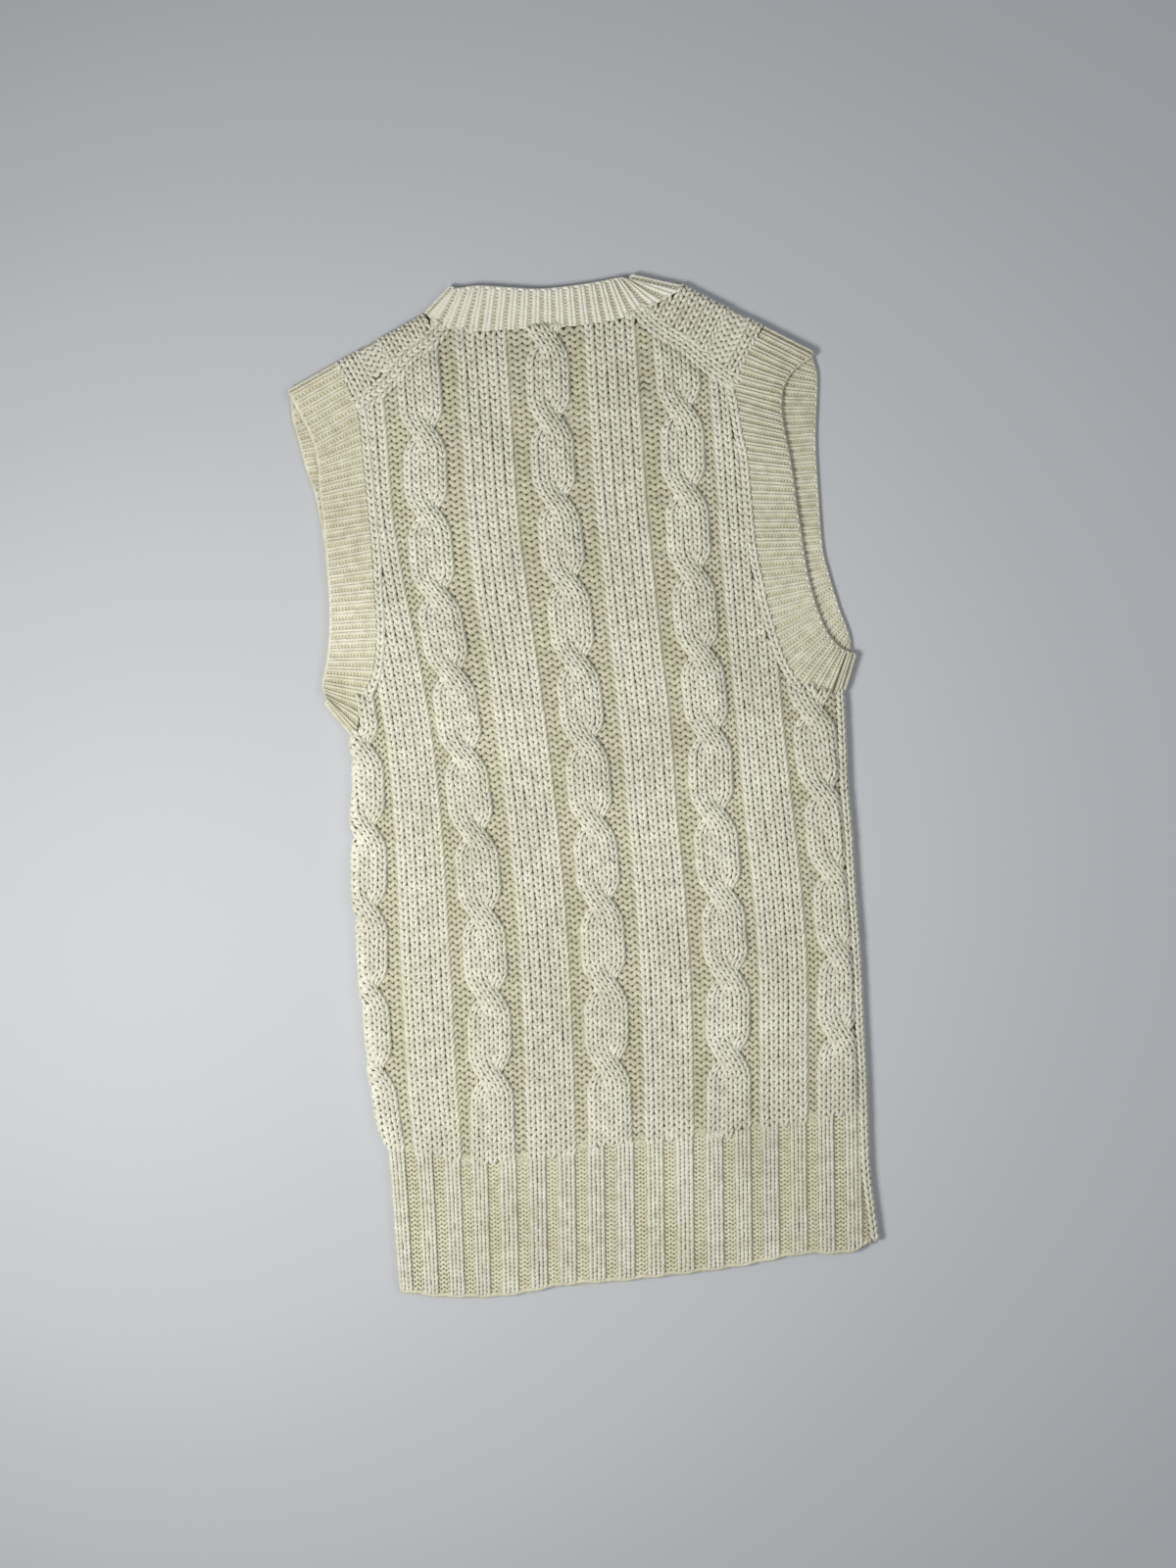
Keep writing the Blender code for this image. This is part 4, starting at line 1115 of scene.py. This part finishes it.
def dressed(mesh, node, painted_shade, plain):
    """The piece that shows for a node: painted shade, dark for the shade between the stitches, on its
    faces under them, and a plain paint elsewhere.
    """
    mesh.name = node + "_cloth"
    mesh.materials.clear()
    mesh.materials.append(painted_shade)
    mesh.materials.append(plain)
    for polygon in mesh.polygons:
        # painted shade on high faces that face up or round a fold, where the stitches cover the cloth
        high = polygon.center.z > (FOLD_HEIGHT - 1.5) * MM
        below_arms = polygon.center.y < (SIDE_TOP - ORIGIN[1]) * MM
        on_fold = below_arms and polygon.normal.z > -0.5 and abs(polygon.normal.y) < 0.6
        polygon.material_index = 0 if high and (polygon.normal.z > 0.35 or on_fold) else 1
        polygon.use_smooth = True
    piece = new_piece(mesh.name, mesh)
    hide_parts(node)
    return piece


def cleaned(mesh):
    """A mesh with its doubled points joined and all its faces turned outwards."""
    form = bmesh.new()
    form.from_mesh(mesh)
    bmesh.ops.remove_doubles(form, verts=form.verts, dist=1e-6)
    bmesh.ops.recalc_face_normals(form, faces=form.faces)
    form.to_mesh(mesh)
    form.free()
    return mesh


def panel_cloth(node, lowered):
    """The cloth under a panel's stitches: the solid's own form with its outer side lower."""
    mesh = cleaned(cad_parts[node].data.copy())
    spots = np.array([vertex.co for vertex in mesh.vertices]) / MM + ORIGIN
    lowered(spots)
    for vertex, spot in zip(mesh.vertices, (spots - ORIGIN) * MM):
        vertex.co = spot
    mesh.update()
    return dressed(mesh, node, CORE_SHADE, PLAIN_KNIT)


def band_cloth(node, band):
    """The cloth under a band's ribs: a strip as thick as its solid on the ground, and
    thinner where the ribs lie on it."""
    count = round(band.length / 2.5)
    along = np.linspace(0.15, band.length - 0.15, count)[:, None]
    low = smoothstep((band.turn(along) / math.pi - 0.6) / 0.3)
    across = np.array((0.0, 0.04, 0.5, 0.96, 1.0, 0.96, 0.5, 0.04)) * band.width
    inner = mix(0.0, PLAIN - BAND_CORE, low)
    outer = mix(BAND_CORE, PLAIN, low)
    edge = mix(inner, outer, 0.5)
    heights = np.concatenate((edge, inner, inner, inner, edge, outer, outer, outer), axis=1)
    ring = len(across)
    spots = (band.place(along, across, heights).reshape(-1, 3) - ORIGIN) * MM
    index = np.arange(count * ring).reshape(count, ring)
    beside = np.roll(index, -1, axis=1)
    quads = together(index[:-1], beside[:-1], beside[1:], index[1:]).reshape(-1, 4)
    mesh = bpy.data.meshes.new(node + "_cloth")
    faces = quads.tolist() + [index[0, ::-1].tolist(), index[-1].tolist()]
    mesh.from_pydata(spots.tolist(), [], faces)
    return dressed(cleaned(mesh), node, BAND_SHADE, PLAIN_RIB)


# -------- making
left = (LEFT_BAND_FRONT, LEFT_BAND_ROLL, LEFT_BAND_BACK, LEFT_UNDERARM, LEFT_BAND_FRONT[:1])
right = (RIGHT_BAND_BACK, RIGHT_BAND_ROLL, RIGHT_BAND_FRONT, RIGHT_UNDERARM, RIGHT_BAND_BACK[:1])
neck = (NECKBAND_LEFT, LEFT_NECK_ROLL, NECKBAND_BACK, RIGHT_NECK_ROLL, NECKBAND_RIGHT)
left_form = folded_band(False, *left)
right_form = folded_band(True, *right)
neck_form = folded_band(False, *neck)
back = panel_cloth("back", lower_back)
front = panel_cloth("front", lower_front)
neckband = band_cloth("neckband", neck_form)
left_band = band_cloth("left_armhole_band", left_form)
right_band = band_cloth("right_armhole_band", right_form)

hem_ribs, hem_purls = hem()
# the hem's rim goes with the purl rows, in their darker painted-shade yarn
hem_rim(hem_purls)
chains = Yarn()
edge_chain(chains, longer(LEFT_SIDE, 6.0, 4.0), -0.43 * EDGE_WALE)
edge_chain(chains, longer(RIGHT_SIDE, 5.0, 4.0), 0.43 * EDGE_WALE)
for seam in (LEFT_SEAM, RIGHT_SEAM):
    for side in (-1, 1):
        edge_chain(chains, longer(seam, 4.5, 5.0), side * 0.47 * EDGE_WALE)

back_pieces = [
    body_cables().make("back_cable_stitches", BODY_YARN),
    body_panels().make("back_panel_stitches", BODY_YARN),
    body_gutters().make("back_purl_rows", SHADED_GUTTER_YARN),
    hem_ribs.make("hem_rib_stitches", BODY_YARN),
    hem_purls.make("hem_purl_rows", SHADED_PURL_YARN),
    chains.make("back_edge_stitches", BODY_YARN),
]

for side, turn, seam, last in (
    ("left", LEFT_SHOULDER, LEFT_SEAM, LEFT_FOLD_END),
    ("right", RIGHT_SHOULDER, RIGHT_SEAM, RIGHT_FOLD_END),
):
    knits, purls = shoulder_stitches(turn, seam, last)
    knits.make(side + "_shoulder_stitches", BODY_YARN)
    purls.make(side + "_shoulder_purl_rows", BODY_YARN)
side_strip().make("right_side_stitches", BODY_YARN)

armhole = (BAND_RIB, True, BAND_TROUGH, BAND_YARN, SHADED_PURL_YARN)
left_band_pieces = dress_band("left_band", left_form, *armhole)
right_band_pieces = dress_band("right_band", right_form, *armhole)
# the neckband's knit columns take its lighter painted-light yarn, its purl columns the darker band yarn
collar = (NECK_RIB, False, NECK_TROUGH, LIT_NECK_YARN, BAND_YARN)
neckband_pieces = dress_band("neckband", neck_form, *collar)

# -------- floor, light and camera
bpy.ops.mesh.primitive_plane_add(size=6.0, location=(0, 0, -0.0002))
floor = bpy.context.object
floor.name = "floor"
floor_paint = Nodes("floor_paint", 0.8)
floor_paint.shader.inputs["Base Color"].default_value = (0.565, 0.58, 0.61, 1.0)
floor.data.materials.append(floor_paint.material)

LIGHT_SPREAD = 110


def area_light(name, place, size, power, colour):
    """A round soft light at a place, aimed at the vest."""
    light = bpy.data.lights.new(name, "AREA")
    light.shape = "DISK"
    light.size = size
    light.energy = power
    light.color = colour
    light.spread = math.radians(LIGHT_SPREAD)
    lamp = bpy.data.objects.new(name, light)
    lamp.location = place
    lamp.rotation_euler = (-Vector(place)).to_track_quat("-Z", "Y").to_euler()
    bpy.context.scene.collection.objects.link(lamp)


area_light("window_light", (-0.62, -0.16, 0.85), size=0.38, power=3.35, colour=(1.0, 0.99, 0.96))
area_light("fill_light", (1.0, -0.1, 1.5), size=1.2, power=2.1, colour=(0.95, 0.97, 1.0))
world = bpy.data.worlds.new("studio")
bpy.context.scene.world = world
world.use_nodes = True
world.node_tree.nodes["Background"].inputs["Color"].default_value = (0.95, 0.97, 1.0, 1.0)
world.node_tree.nodes["Background"].inputs["Strength"].default_value = 0.22
bpy.context.scene.view_settings.view_transform = "Standard"

CAMERA_UP = (0.0970, 0.9953)  # the vest lies a little turned in the picture
FRAME_MIDDLE = (-3.58, 0.35)
FRAME_HEIGHT = 960.0
CAMERA_DISTANCE = 1600.0  # from the middle of the vest's thickness
HALF_THICKNESS = 5.0
camera = bpy.data.objects.new("camera", bpy.data.cameras.new("camera"))
camera.data.sensor_fit = "VERTICAL"
camera.data.sensor_height = 36.0
camera.data.lens = 36.0 * CAMERA_DISTANCE / FRAME_HEIGHT
camera.location = ((*FRAME_MIDDLE, CAMERA_DISTANCE + HALF_THICKNESS) - ORIGIN) * MM
camera.rotation_euler = (0, 0, -math.atan2(CAMERA_UP[0], CAMERA_UP[1]))
bpy.context.scene.collection.objects.link(camera)
bpy.context.scene.camera = camera
